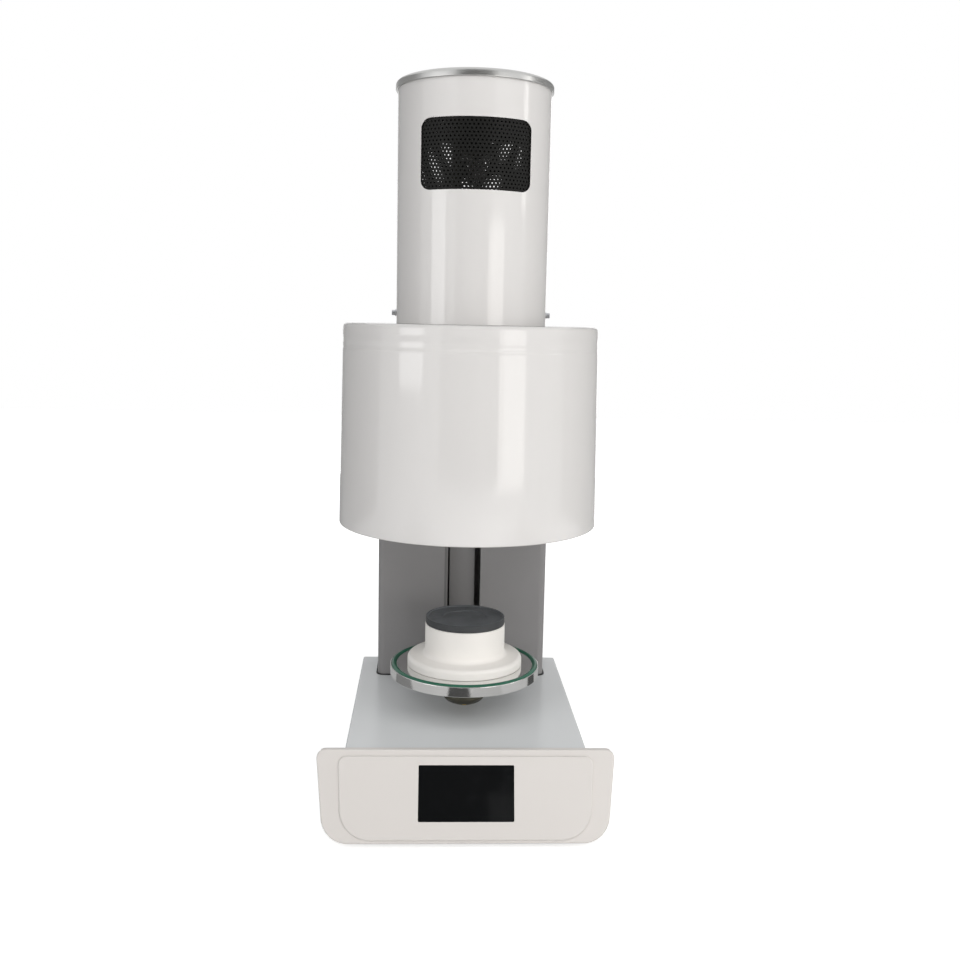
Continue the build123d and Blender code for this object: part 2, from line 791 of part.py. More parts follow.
with BuildPart() as column_shell:
    with BuildSketch(deck(pan_top_z)):
        with Locations((0, column_front + column_depth / 2)):
            Rectangle(column_width, column_depth)
    extrude(amount=column_top_z - pan_top_z)
    front_corners = column_shell.edges().filter_by(Axis.Z).group_by(Axis.Y)[0]
    fillet(front_corners, column_corner)
    with BuildSketch(deck(pan_top_z)):
        with Locations((0, column_front + column_depth / 2)):
            inner = Rectangle(2 * column_inner_half, column_depth - 2 * sheet)
        fillet(inner.vertices().group_by(Axis.Y)[0], column_corner - sheet)
    extrude(amount=column_top_z - pan_top_z - sheet, mode=Mode.SUBTRACT)
    # open back between the two folded lips
    with BuildSketch(deck(pan_top_z)):
        with Locations((0, column_back - sheet / 2)):
            Rectangle(2 * (column_inner_half - column_lip), sheet)
    extrude(amount=column_top_z - pan_top_z - sheet, mode=Mode.SUBTRACT)
    with BuildSketch(column_face):
        with Locations((0, (slot_low_z + slot_high_z) / 2)):
            RectangleRounded(slot_width, slot_high_z - slot_low_z, slot_corner)
        with Locations(*carrier_bolt_spots):
            Circle(carrier_bolt_radius + running)
    extrude(amount=-sheet, mode=Mode.SUBTRACT)
    with BuildSketch(back_cover_face.offset(-sheet)):
        with Locations(*back_screw_spots):
            Circle(cover_screw_radius + running)
    extrude(amount=-sheet, mode=Mode.SUBTRACT)
keep(column_shell, "column_shell")

back_vent_rise = 100.0       # middle of the back cover to the middle of its vents
back_vent_length = 40.0
back_vent_width = 4.0
back_vent_pitch = 12.0
back_vent_count = 9
back_cover_gap = 1.0         # base cover to the lower edge of the back cover
back_cover_low_z = base_height + back_cover_gap
with BuildPart() as column_back_cover:
    with BuildSketch(back_cover_face.offset(-sheet)):
        with Locations((0, (back_cover_low_z + column_top_z) / 2)):
            Rectangle(column_width, column_top_z - back_cover_low_z)
            with Locations((0, back_vent_rise)):
                with GridLocations(back_vent_pitch, 1, back_vent_count, 1):
                    SlotOverall(
                        back_vent_length, back_vent_width, rotation=90, mode=Mode.SUBTRACT
                    )
        with Locations(*back_screw_spots):
            Circle(cover_screw_radius + running, mode=Mode.SUBTRACT)
    extrude(amount=sheet)
keep(column_back_cover, "column_back_cover")

with BuildPart() as cover_screws:
    add(base_side_screws.part)
    with BuildSketch(back_cover_face):
        with Locations(*back_screw_spots):
            Circle(cover_screw_head)
    extrude(amount=cover_screw_rim)
    with BuildSketch(back_cover_face):
        with Locations(*back_screw_spots):
            Circle(cover_screw_radius)
    extrude(amount=-cover_screw_length)
keep(cover_screws, "cover_screws")

gasket_height = 2.6
with BuildPart() as column_gasket:
    with BuildSketch(deck(base_height - sheet)):
        column_outline(column_gap)
    extrude(amount=gasket_height)
    with BuildSketch(deck(base_height - sheet)):
        column_outline(fit)
    extrude(amount=gasket_height, mode=Mode.SUBTRACT)
keep(column_gasket, "column_gasket")

# ---------------------------------------------------------------- lift drive in the column
motor_plate_low_z = pan_top_z + motor_pad + motor_length
motor_plate_top_z = motor_plate_low_z + motor_plate
motor_screw_pitch = 31.0
motor_pilot = 11.0
pilot_height = 2.0
shaft_length = 22.0

with BuildPart() as lift_motor_plate:
    with BuildSketch(deck(motor_plate_low_z)):
        with Locations((0, (column_front + column_back) / 2)):
            Rectangle(2 * (column_inner_half - fit), column_depth - 2 * sheet - 2 * fit)
        with Locations((0, screw_y)):
            Circle(motor_pilot + running, mode=Mode.SUBTRACT)
            with GridLocations(motor_screw_pitch, motor_screw_pitch, 2, 2):
                Circle(motor_hole_radius, mode=Mode.SUBTRACT)
    extrude(amount=motor_plate)
    fillet(lift_motor_plate.edges().filter_by(Axis.Z).group_by(Axis.Y)[0], column_corner - sheet)
keep(lift_motor_plate, "lift_motor_plate")


def stepper(size, length, low, x, y, pilot, pilot_rise, shaft, shaft_rise, up=True):
    """Square motor with its face, pilot and shaft at the top (up) or at the bottom."""
    sign = 1 if up else -1
    face_z = low + length if up else low
    with BuildPart() as motor:
        with BuildSketch(deck(low)):
            with Locations((x, y)):
                RectangleRounded(size, size, size / motor_corner_share)
        extrude(amount=length)
        with BuildSketch(deck(face_z)):
            with Locations((x, y)):
                Circle(pilot)
        extrude(amount=sign * pilot_rise)
        with BuildSketch(deck(face_z)):
            with Locations((x, y)):
                Circle(shaft)
        extrude(amount=sign * shaft_rise)
    return motor


lift_motor = stepper(
    motor_size, motor_length, motor_plate_low_z - motor_length, 0, screw_y,
    motor_pilot, pilot_height, motor_shaft, shaft_length,
)
keep(lift_motor, "lift_motor")

coupling_radius = 9.5
coupling_length = 25.0
coupling_gap = 2.0
shaft_gap = 1.0
coupling_low_z = motor_plate_top_z + coupling_gap
shaft_top_z = motor_plate_low_z + shaft_length
screw_low_z = shaft_top_z + shaft_gap
bearing_height = 7.0
bearing_half = 20.0
bearing_depth = 27.0
low_bearing_z = coupling_low_z + coupling_length + coupling_gap
carriage_low_z = table_low_z - carriage_drop
high_bearing_z = carriage_low_z + carriage_height + lift_travel + carriage_spare
rail_top_z = high_bearing_z + bearing_height

with BuildPart() as lift_coupling:
    with BuildSketch(deck(coupling_low_z)):
        with Locations((0, screw_y)):
            Circle(coupling_radius)
            Circle(motor_shaft + running, mode=Mode.SUBTRACT)
    extrude(amount=coupling_length)
    with BuildSketch(deck(screw_low_z - fit)):
        with Locations((0, screw_y)):
            Circle(journal_radius + running)
    extrude(amount=coupling_length, mode=Mode.SUBTRACT)
keep(lift_coupling, "lift_coupling")

thread_low_z = low_bearing_z + bearing_height + fit
thread_high_z = high_bearing_z - fit
with BuildPart() as lead_screw:
    with BuildSketch(deck(screw_low_z)):
        with Locations((0, screw_y)):
            Circle(journal_radius)
    extrude(amount=rail_top_z - screw_low_z)
    with BuildSketch(deck(thread_low_z)):
        with Locations((0, screw_y)):
            Circle(screw_radius)
    extrude(amount=thread_high_z - thread_low_z)
keep(lead_screw, "lead_screw")

with BuildPart() as screw_bearings:
    for low in (low_bearing_z, high_bearing_z):
        with BuildSketch(deck(low)):
            with Locations((0, rail_back + bearing_depth / 2)):
                Rectangle(2 * bearing_half, bearing_depth)
            with Locations((0, screw_y)):
                Circle(journal_radius + running, mode=Mode.SUBTRACT)
        extrude(amount=bearing_height)
keep(screw_bearings, "screw_bearings")

rail_bracket_height = 22.0
with BuildPart() as guide_rail:
    with BuildSketch(deck(motor_plate_top_z)):
        with Locations((0, rail_front + rail_depth / 2)):
            Rectangle(rail_width, rail_depth)
    extrude(amount=rail_top_z - motor_plate_top_z)
    # bracket that ties the rail's upper end to the column front
    with BuildSketch(deck(rail_top_z - rail_bracket_height)):
        with Locations((0, (column_front + sheet + rail_front) / 2)):
            Rectangle(rail_width, rail_front - column_front - sheet)
    extrude(amount=rail_bracket_height)
keep(guide_rail, "guide_rail")

arm_low_z = table_low_z - arm_height
nut_radius = 11.0
nut_flange = 13.4
nut_flange_height = 4.0
nut_wall = 2.5               # carriage material behind the nut
nut_recess = 10.0            # top of the carriage to the top of the nut
carriage_round = 2.0
carriage_front_y = rail_front - fit - carriage_front
carriage_back_y = screw_y + nut_radius + nut_wall
with BuildPart() as carriage:
    with BuildSketch(deck(carriage_low_z)):
        with Locations((0, (carriage_front_y + carriage_back_y) / 2)):
            Rectangle(2 * carriage_half, carriage_back_y - carriage_front_y)
        with Locations((0, (rail_front + rail_back) / 2)):
            Rectangle(rail_width + 2 * fit, rail_depth + 2 * fit, mode=Mode.SUBTRACT)
        with Locations((0, screw_y)):
            Circle(nut_radius + running, mode=Mode.SUBTRACT)
    extrude(amount=carriage_height)
    fillet(carriage.edges().filter_by(Axis.Z).group_by(Axis.X)[0], carriage_round)
    fillet(carriage.edges().filter_by(Axis.Z).group_by(Axis.X)[-1], carriage_round)
keep(carriage, "carriage")

with BuildPart() as lead_nut:
    with BuildSketch(deck(carriage_low_z - nut_flange_height)):
        with Locations((0, screw_y)):
            Circle(nut_flange)
    extrude(amount=nut_flange_height)
    with BuildSketch(deck(carriage_low_z)):
        with Locations((0, screw_y)):
            Circle(nut_radius)
    extrude(amount=carriage_height - nut_recess)
    with BuildSketch(deck(carriage_low_z - nut_flange_height)):
        with Locations((0, screw_y)):
            Circle(screw_radius + running)
    extrude(amount=carriage_height, mode=Mode.SUBTRACT)
keep(lead_nut, "lead_nut")

hub_screw_circle = 15.5
hub_screw_head = 3.5
hub_screw_shank = 2.0
hub_screw_count = 3
hub_screw_turn = -90.0
hub_head_height = 3.5
hub_head_sink = 4.9          # tip of the hub to the seats of the screw heads
hub_socket = 1.7
hub_socket_depth = 2.3
hub_round = 2.0
hub_screw_spare = 1.2        # end of a hub screw to the table
hub_tip_z = arm_low_z - hub_drop
hub_head_z = hub_tip_z + hub_head_sink
rib_thickness = 8.0
arm_foot = 8.0               # plate that bolts to the carriage
with BuildPart() as lift_arm:
    with BuildSketch(deck(arm_low_z)):
        Circle(eye_radius)
        with Locations((0, carriage_front_y / 2)):
            Rectangle(arm_width, carriage_front_y)
        Circle(spigot_radius + running, mode=Mode.SUBTRACT)
        with PolarLocations(hub_screw_circle, hub_screw_count, start_angle=hub_screw_turn):
            Circle(hub_screw_shank + running, mode=Mode.SUBTRACT)
    extrude(amount=arm_height)
    # rib below the arm and the foot that bolts to the carriage
    with BuildSketch(Plane((-rib_thickness / 2, lift_y, 0), x_dir=(0, 1, 0), z_dir=(1, 0, 0))):
        Polygon(
            (eye_radius + rib_thickness, arm_low_z), (carriage_front_y - arm_foot, arm_low_z),
            (carriage_front_y - arm_foot, carriage_low_z), align=None,
        )
    extrude(amount=rib_thickness)
    with BuildSketch(deck(carriage_low_z)):
        with Locations((0, carriage_front_y - arm_foot / 2)):
            Rectangle(arm_width, arm_foot)
    extrude(amount=table_low_z - carriage_low_z)
keep(lift_arm, "lift_arm")

with BuildPart() as table_hub:
    with BuildSketch(Plane((0, lift_y, 0), x_dir=(1, 0, 0), z_dir=(0, -1, 0))):
        Polygon(
            (0, hub_tip_z), (hub_tip, hub_tip_z), (hub_radius, hub_tip_z + hub_cone),
            (hub_radius, arm_low_z), (0, arm_low_z), align=None,
        )
    revolve(axis=Axis((0, lift_y, 0), (0, 0, 1)))
    tip_edge = table_hub.edges().filter_by(GeomType.CIRCLE).sort_by(Axis.Z)[0]
    fillet(tip_edge, hub_round)
    with BuildSketch(deck(hub_tip_z)):
        with PolarLocations(hub_screw_circle, hub_screw_count, start_angle=hub_screw_turn):
            Circle(hub_screw_head + running)
    extrude(amount=hub_head_z - hub_tip_z, mode=Mode.SUBTRACT)
    with BuildSketch(deck(hub_tip_z)):
        with PolarLocations(hub_screw_circle, hub_screw_count, start_angle=hub_screw_turn):
            Circle(hub_screw_shank + running)
    extrude(amount=arm_low_z - hub_tip_z, mode=Mode.SUBTRACT)
keep(table_hub, "table_hub")

hub_screw_length = arm_low_z - hub_head_z + arm_height - hub_screw_spare
with BuildPart() as hub_screws:
    with BuildSketch(deck(hub_head_z - hub_head_height)):
        with PolarLocations(hub_screw_circle, hub_screw_count, start_angle=hub_screw_turn):
            Circle(hub_screw_head)
    extrude(amount=hub_head_height)
    with BuildSketch(deck(hub_head_z)):
        with PolarLocations(hub_screw_circle, hub_screw_count, start_angle=hub_screw_turn):
            Circle(hub_screw_shank)
    extrude(amount=hub_screw_length)
    with BuildSketch(deck(hub_head_z - hub_head_height)):
        with PolarLocations(hub_screw_circle, hub_screw_count, start_angle=hub_screw_turn):
            RegularPolygon(hub_socket, 6)
    extrude(amount=hub_socket_depth, mode=Mode.SUBTRACT)
keep(hub_screws, "hub_screws")

# ---------------------------------------------------------------- lift table
spigot_length = arm_height - 0.5
groove_gap = 0.1
groove_half = seal_section + groove_gap
with BuildPart() as table_plate:
    with BuildSketch(deck(table_low_z)):
        Circle(table_radius)
    extrude(amount=table_thickness)
    chamfer(table_plate.edges().filter_by(GeomType.CIRCLE), table_edge)
    with BuildSketch(deck(table_low_z)):
        Circle(spigot_radius)
    extrude(amount=-spigot_length)
    with BuildSketch(deck(table_top_z)):
        Circle(seal_radius + groove_half)
        Circle(seal_radius - groove_half, mode=Mode.SUBTRACT)
    extrude(amount=-(2 * seal_section - seal_rise + groove_gap), mode=Mode.SUBTRACT)
keep(table_plate, "table_plate")

with BuildPart() as table_seal:
    with Locations((0, lift_y, table_top_z + seal_rise - seal_section)):
        Torus(seal_radius, seal_section)
keep(table_seal, "table_seal")

with BuildPart() as pedestal:
    with BuildSketch(deck(table_top_z)):
        Circle(pedestal_foot_radius)
    extrude(amount=pedestal_foot_height)
    with BuildSketch(deck(table_top_z)):
        Circle(pedestal_radius)
    extrude(amount=pedestal_height)
    rims = pedestal.edges().filter_by(GeomType.CIRCLE).sort_by(Axis.Z)
    fillet(rims[-1], pedestal_edge)
    foot_rims = pedestal.edges().filter_by(GeomType.CIRCLE).filter_by_position(
        Axis.Z, foot_top_z - fit, foot_top_z + fit
    ).sort_by(SortBy.LENGTH)
    fillet(foot_rims[-1], pedestal_foot_edge)
    fillet(foot_rims[0], pedestal_foot_cove)
keep(pedestal, "pedestal")

with BuildPart() as firing_tray:
    with BuildSketch(deck(tray_low_z)):
        Circle(tray_radius)
    extrude(amount=tray_thickness)
    with BuildSketch(deck(tray_low_z + tray_thickness)):
        Circle(tray_radius - tray_rim)
    extrude(amount=-tray_recess, mode=Mode.SUBTRACT)
    with BuildSketch(deck(tray_low_z + tray_thickness - tray_recess)):
        Circle(tray_centre)
    extrude(amount=-tray_centre_depth, mode=Mode.SUBTRACT)
    outer_rims = firing_tray.edges().filter_by(GeomType.CIRCLE).filter_by(
        lambda e: abs(e.radius - tray_radius) < running
    )
    fillet(outer_rims, tray_edge)
keep(firing_tray, "firing_tray")

# ---------------------------------------------------------------- muffle
with BuildPart() as muffle_carrier:
    with BuildSketch(deck(flange_low_z)):
        Circle(flange_radius)
        with Locations((0, column_front / 2)):
            Rectangle(2 * lug_half, column_front)
        Circle(flange_bore, mode=Mode.SUBTRACT)
    extrude(amount=flange_thickness)
    with BuildSketch(column_face):
        with Locations((0, flange_top_z + lug_height / 2)):
            RectangleRounded(2 * lug_half, lug_height, lug_corner)
        with Locations((0, flange_top_z + lug_height / 4)):
            Rectangle(2 * lug_half, lug_height / 2)
        with Locations(*carrier_bolt_spots):
            Circle(carrier_bolt_radius + running, mode=Mode.SUBTRACT)
    extrude(amount=lug_thickness)
keep(muffle_carrier, "muffle_carrier")

bolt_head_radius = 5.5
bolt_head_height = 4.0
with BuildPart() as carrier_bolts:
    bolt_seat = column_face.offset(-sheet)
    with BuildSketch(bolt_seat):
        with Locations(*carrier_bolt_spots):
            RegularPolygon(bolt_head_radius, 6)
    extrude(amount=-bolt_head_height)
    with BuildSketch(bolt_seat):
        with Locations(*carrier_bolt_spots):
            Circle(carrier_bolt_radius)
    extrude(amount=sheet + lug_thickness)
keep(carrier_bolts, "carrier_bolts")

gland_radius = 16.0
gland_height = 14.0
lead_radius = 1.6
bushing_radius = 6.0
bushing_height = 12.0
coil_radius = chamber_radius + quartz_wall + coil_wire + coil_gap
insulation_radius = pot_radius - pot_wall - fit
lead_spots = [(0, coil_radius), (0, -coil_radius)]
probe_radius = 2.0
probe_x = 38.0
probe_head_radius = 7.0
probe_head_height = 13.0
probe_reach = 18.0           # chamber top to the tip of the thermocouple
pot_round = 2.0
with BuildPart() as vacuum_pot:
    with BuildSketch(deck(flange_top_z)):
        Circle(pot_radius)
    extrude(amount=pot_height)
    fillet(vacuum_pot.edges().group_by(Axis.Z)[-1], pot_round)
    with BuildSketch(deck(flange_top_z)):
        Circle(pot_radius - pot_wall)
    extrude(amount=pot_height - pot_lid, mode=Mode.SUBTRACT)
    with BuildSketch(deck(pot_top_z)):
        Circle(gland_radius)
    extrude(amount=gland_height)
    with BuildSketch(deck(pot_top_z - pot_lid)):
        Circle(plunger_radius + running)
        with Locations((probe_x, 0)):
            Circle(probe_radius + running)
        with Locations(*lead_spots):
            Circle(bushing_radius / 2 + running)
    extrude(amount=pot_lid + gland_height, mode=Mode.SUBTRACT)
keep(vacuum_pot, "vacuum_pot")

disc_room = pedestal_foot_radius + foot_room
closed_foot_z = table_top_z + lift_travel + pedestal_foot_height
with BuildPart() as insulation_floor:
    with BuildSketch(deck(flange_top_z)):
        Circle(insulation_radius)
        Circle(chamber_bore, mode=Mode.SUBTRACT)
    extrude(amount=chamber_floor)
    with BuildSketch(deck(flange_top_z)):
        Circle(disc_room)
    extrude(amount=closed_foot_z + foot_room - flange_top_z, mode=Mode.SUBTRACT)
keep(insulation_floor, "insulation_floor")

coil_room = coil_radius + coil_wire + coil_gap
insulation_side = ring(insulation_radius, coil_room, chamber_low_z, chamber_top_z)
keep(insulation_side, "insulation_side")

plunger_room = plunger_radius + plunger_gap
with BuildPart() as insulation_roof:
    with BuildSketch(deck(chamber_top_z)):
        Circle(insulation_radius)
        Circle(plunger_room, mode=Mode.SUBTRACT)
        with Locations((probe_x, 0)):
            Circle(probe_radius + fit, mode=Mode.SUBTRACT)
        with Locations(*lead_spots):
            Circle(lead_radius + fit, mode=Mode.SUBTRACT)
    extrude(amount=pot_top_z - pot_lid - chamber_top_z - fit)
keep(insulation_roof, "insulation_roof")

quartz_tube = ring(
    chamber_radius + quartz_wall, chamber_radius, chamber_low_z + running, chamber_top_z - running
)
keep(quartz_tube, "quartz_tube")

coil_margin = 7.0
lead_end = 6.0               # lead above its bushing
coil_pitch = (chamber_height - 2 * coil_margin) / (coil_turns - 1)
lead_top_z = pot_top_z + bushing_height + lead_end
with BuildPart() as heating_coil:
    for turn in range(coil_turns):
        with Locations((0, lift_y, chamber_low_z + coil_margin + turn * coil_pitch)):
            Torus(coil_radius, coil_wire)
    with BuildSketch(deck(chamber_low_z + coil_margin)):
        with Locations(*lead_spots):
            Circle(lead_radius)
    extrude(amount=lead_top_z - chamber_low_z - coil_margin)
keep(heating_coil, "heating_coil")

with BuildPart() as lead_bushings:
    with BuildSketch(deck(pot_top_z)):
        with Locations(*lead_spots):
            Circle(bushing_radius)
    extrude(amount=bushing_height)
    with BuildSketch(deck(pot_top_z - pot_lid)):
        with Locations(*lead_spots):
            Circle(bushing_radius / 2)
    extrude(amount=pot_lid)
    with BuildSketch(deck(pot_top_z - pot_lid)):
        with Locations(*lead_spots):
            Circle(lead_radius + running)
    extrude(amount=pot_lid + bushing_height, mode=Mode.SUBTRACT)
keep(lead_bushings, "lead_bushings")

probe_tip_z = chamber_top_z - probe_reach
with BuildPart() as thermocouple:
    with BuildSketch(deck(probe_tip_z)):
        with Locations((probe_x, 0)):
            Circle(probe_radius)
    extrude(amount=pot_top_z - probe_tip_z)
    with BuildSketch(deck(pot_top_z)):
        with Locations((probe_x, 0)):
            Circle(probe_head_radius)
    extrude(amount=probe_head_height)
keep(thermocouple, "thermocouple")

notch_gap = 0.5              # between the muffle's rear notch and the column
notch_y = column_front - notch_gap
notch_half = column_width / 2 + 2 * notch_gap
floor_radius = muffle_radius_low - muffle_wall - fit
with BuildPart() as muffle_floor:
    with BuildSketch(deck(flange_low_z - sheet)):
        Circle(floor_radius)
        Circle(floor_bore, mode=Mode.SUBTRACT)
        with Locations((0, notch_y + muffle_radius_low / 2)):
            Rectangle(2 * notch_half, muffle_radius_low, mode=Mode.SUBTRACT)
    extrude(amount=sheet)
keep(muffle_floor, "muffle_floor")

opening_radius = 60.0
with BuildPart() as muffle_housing:
    with BuildSketch(Plane((0, lift_y, 0), x_dir=(1, 0, 0), z_dir=(0, -1, 0))):
        Polygon(
            (0, muffle_low_z), (muffle_radius_low, muffle_low_z),
            (muffle_radius_top, muffle_top_z), (0, muffle_top_z), align=None,
        )
    revolve(axis=Axis((0, lift_y, 0), (0, 0, 1)))
    fillet(muffle_housing.edges().filter_by(GeomType.CIRCLE).sort_by(Axis.Z)[-1], muffle_fillet)
    fillet(muffle_housing.edges().filter_by(GeomType.CIRCLE).sort_by(Axis.Z)[0], muffle_rim_round)
    with BuildSketch(Plane((0, lift_y, 0), x_dir=(1, 0, 0), z_dir=(0, -1, 0))):
        inside = Polygon(
            (0, muffle_low_z), (muffle_radius_low - muffle_wall, muffle_low_z),
            (muffle_radius_top - muffle_wall, muffle_top_z - muffle_wall),
            (0, muffle_top_z - muffle_wall), align=None,
        )
        fillet(inside.vertices().sort_by(Axis.Y)[-2:].sort_by(Axis.X)[-1], muffle_fillet - muffle_wall)
    revolve(axis=Axis((0, lift_y, 0), (0, 0, 1)), mode=Mode.SUBTRACT)
    with BuildSketch(deck(muffle_top_z)):
        Circle(opening_radius)
    extrude(amount=-muffle_wall, mode=Mode.SUBTRACT)
    with BuildSketch(deck(muffle_low_z)):
        with Locations((0, notch_y + muffle_radius_low / 2)):
            Rectangle(2 * notch_half, muffle_radius_low)
    extrude(amount=column_top_z + 3 * notch_gap - muffle_low_z, mode=Mode.SUBTRACT)
keep(muffle_housing, "muffle_housing")

# ---------------------------------------------------------------- tower
ring_outer = tower_radius - tower_wall - ring_gap
ring_foot = 3.0
tower_screw_z = muffle_top_z + tower_screw_height
tower_screw_shank = 2.0
tower_screw_head = 3.5
tower_screw_rim = 4.6
tower_screw_spare = 2.0      # screw past the inner face of the mount ring
with BuildPart() as tower_mount_ring:
    with BuildSketch(deck(muffle_top_z)):
        Circle(ring_outer)
        Circle(opening_radius, mode=Mode.SUBTRACT)
    extrude(amount=mount_ring_height)
    with BuildSketch(deck(muffle_top_z + ring_foot)):
        Circle(ring_outer - mount_ring_wall)
    extrude(amount=mount_ring_height, mode=Mode.SUBTRACT)
    with BuildSketch(side_plane):
        with Locations((0, tower_screw_z)):
            Circle(tower_screw_shank + running)
    extrude(amount=2 * tower_radius, both=True, mode=Mode.SUBTRACT)
keep(tower_mount_ring, "tower_mount_ring")

front_plane = Plane((0, lift_y, 0), x_dir=(1, 0, 0), z_dir=(0, -1, 0))
window_mid_z = muffle_top_z + window_low + window_height / 2
with BuildPart() as tower_tube:
    with BuildSketch(deck(muffle_top_z + running)):
        Circle(tower_radius)
        Circle(tower_radius - tower_wall, mode=Mode.SUBTRACT)
    extrude(amount=tower_height - sheet - 2 * running)
    # front and rear windows
    with BuildSketch(front_plane):
        with Locations((0, window_mid_z)):
            RectangleRounded(window_width, window_height, window_corner)
    extrude(amount=2 * tower_radius, both=True, mode=Mode.SUBTRACT)
    with BuildSketch(side_plane):
        with Locations((0, tower_screw_z)):
            Circle(tower_screw_shank + running)
    extrude(amount=2 * tower_radius, both=True, mode=Mode.SUBTRACT)
keep(tower_tube, "tower_tube")

tower_screws = side_screws(
    tower_radius, tower_screw_z, [0], tower_screw_head, tower_screw_rim, tower_screw_shank,
    tower_wall + mount_ring_wall + tower_screw_spare,
)
keep(tower_screws, "tower_screws")

cap_low_z = tower_top_z - cap_skirt
with BuildPart() as tower_cap:
    with BuildSketch(deck(cap_low_z)):
        Circle(cap_radius)
    extrude(amount=cap_skirt)
    fillet(tower_cap.edges().group_by(Axis.Z)[-1], cap_round)
    fillet(tower_cap.edges().group_by(Axis.Z)[0], cap_rim)
    with BuildSketch(deck(cap_low_z)):
        Circle(tower_radius + cap_gap)
    extrude(amount=cap_skirt - sheet, mode=Mode.SUBTRACT)
keep(tower_cap, "tower_cap")

grille_radius = tower_radius - tower_wall - cap_gap
grille_half = window_width / 2 + grille_margin
with BuildPart() as window_grilles:
    with BuildSketch(deck(muffle_top_z + window_low - grille_margin)):
        Circle(grille_radius)
        Circle(grille_radius - grille_sheet, mode=Mode.SUBTRACT)
        Rectangle(2 * grille_half, 2 * grille_radius, mode=Mode.INTERSECT)
        Rectangle(3 * grille_half, grille_radius, mode=Mode.SUBTRACT)
    extrude(amount=window_height + 2 * grille_margin)
keep(window_grilles, "window_grilles")

# ---------------------------------------------------------------- press drive
pillar_radius = 5.0
pillar_circle = 45.0
pillar_count = 4
press_plate_radius = 56.0
press_sheet = 4.0
press_plate_low_z = pot_top_z + pillar_height
press_plate_top_z = press_plate_low_z + press_sheet
with BuildPart() as press_pillars:
    with BuildSketch(deck(pot_top_z)):
        with PolarLocations(pillar_circle, pillar_count, start_angle=180 / pillar_count):
            Circle(pillar_radius)
    extrude(amount=pillar_height)
keep(press_pillars, "press_pillars")

with BuildPart() as press_plate:
    with BuildSketch(deck(press_plate_low_z)):
        Circle(press_plate_radius)
        Circle(plunger_radius + plunger_edge, mode=Mode.SUBTRACT)
        with Locations((press_axis_x, press_axis_y)):
            Circle(press_screw_radius + running, mode=Mode.SUBTRACT)
    extrude(amount=press_sheet)
keep(press_plate, "press_plate")

press_pilot = 8.0
press_pilot_height = 1.5
press_shaft_length = 20.0
motor_seat_z = muffle_top_z + window_low + motor_seat_rise
spine_top_z = motor_seat_z + press_motor_length + press_sheet
spine_left = spine_right - spine_width
seat_depth = press_motor_size + press_sheet
with BuildPart() as press_bracket:
    with BuildSketch(deck(press_plate_top_z)):
        with Locations(((spine_left + spine_right) / 2, spine_depth / 2)):
            Rectangle(spine_width, spine_depth)
    extrude(amount=spine_top_z - press_plate_top_z)
    with BuildSketch(deck(motor_seat_z - press_sheet)):
        with Locations((press_axis_x, press_axis_y)):
            Rectangle(2 * (press_axis_x - spine_right), seat_depth)
            Circle(press_pilot + running, mode=Mode.SUBTRACT)
    extrude(amount=press_sheet)
keep(press_bracket, "press_bracket")

press_motor = stepper(
    press_motor_size, press_motor_length, motor_seat_z, press_axis_x, press_axis_y,
    press_pilot, press_pilot_height, motor_shaft, press_shaft_length, up=False,
)
keep(press_motor, "press_motor")

crosshead_height = 16.0
crosshead_low_z = press_plate_top_z + press_stroke + crosshead_rest
coupling_top_z = motor_seat_z - 2 * press_sheet
press_coupling_radius = 8.0
press_coupling_length = 22.0
with BuildPart() as press_screw:
    with BuildSketch(deck(press_plate_low_z)):
        with Locations((press_axis_x, press_axis_y)):
            Circle(press_screw_radius)
    extrude(amount=coupling_top_z - press_plate_low_z)
    with BuildSketch(deck(coupling_top_z - press_coupling_length)):
        with Locations((press_axis_x, press_axis_y)):
            Circle(press_coupling_radius)
    extrude(amount=press_coupling_length)
    with BuildSketch(deck(motor_seat_z - press_shaft_length - fit)):
        with Locations((press_axis_x, press_axis_y)):
            Circle(motor_shaft + running)
    extrude(amount=press_shaft_length, mode=Mode.SUBTRACT)
keep(press_screw, "press_screw")

crosshead_wall = 6.0
crosshead_left = spine_left - crosshead_wall
crosshead_right = press_axis_x + press_screw_radius + crosshead_wall + 2
crosshead_front = -plunger_radius - crosshead_wall + 2
crosshead_back = press_axis_y + press_screw_radius + crosshead_wall + 4
with BuildPart() as crosshead:
    with BuildSketch(deck(crosshead_low_z)):
        with Locations(
            ((crosshead_left + crosshead_right) / 2, (crosshead_front + crosshead_back) / 2)
        ):
            Rectangle(crosshead_right - crosshead_left, crosshead_back - crosshead_front)
        with Locations(((spine_left + spine_right) / 2, spine_depth / 2)):
            Rectangle(spine_width + 2 * fit, spine_depth + 2 * fit, mode=Mode.SUBTRACT)
        with Locations((press_axis_x, press_axis_y)):
            Circle(press_screw_radius + running, mode=Mode.SUBTRACT)
    extrude(amount=crosshead_height)
keep(crosshead, "crosshead")

plunger_tip_z = chamber_top_z + plunger_rest
with BuildPart() as press_plunger:
    with BuildSketch(deck(plunger_tip_z)):
        Circle(plunger_radius)
    extrude(amount=crosshead_low_z - plunger_tip_z)
    chamfer(press_plunger.edges().group_by(Axis.Z)[0], plunger_edge)
keep(press_plunger, "press_plunger")

pieces = len(os.listdir("parts"))
print(f"{pieces} pieces, lift travel {lift_travel:.2f} mm, lift axis y {lift_y:.3f} mm")
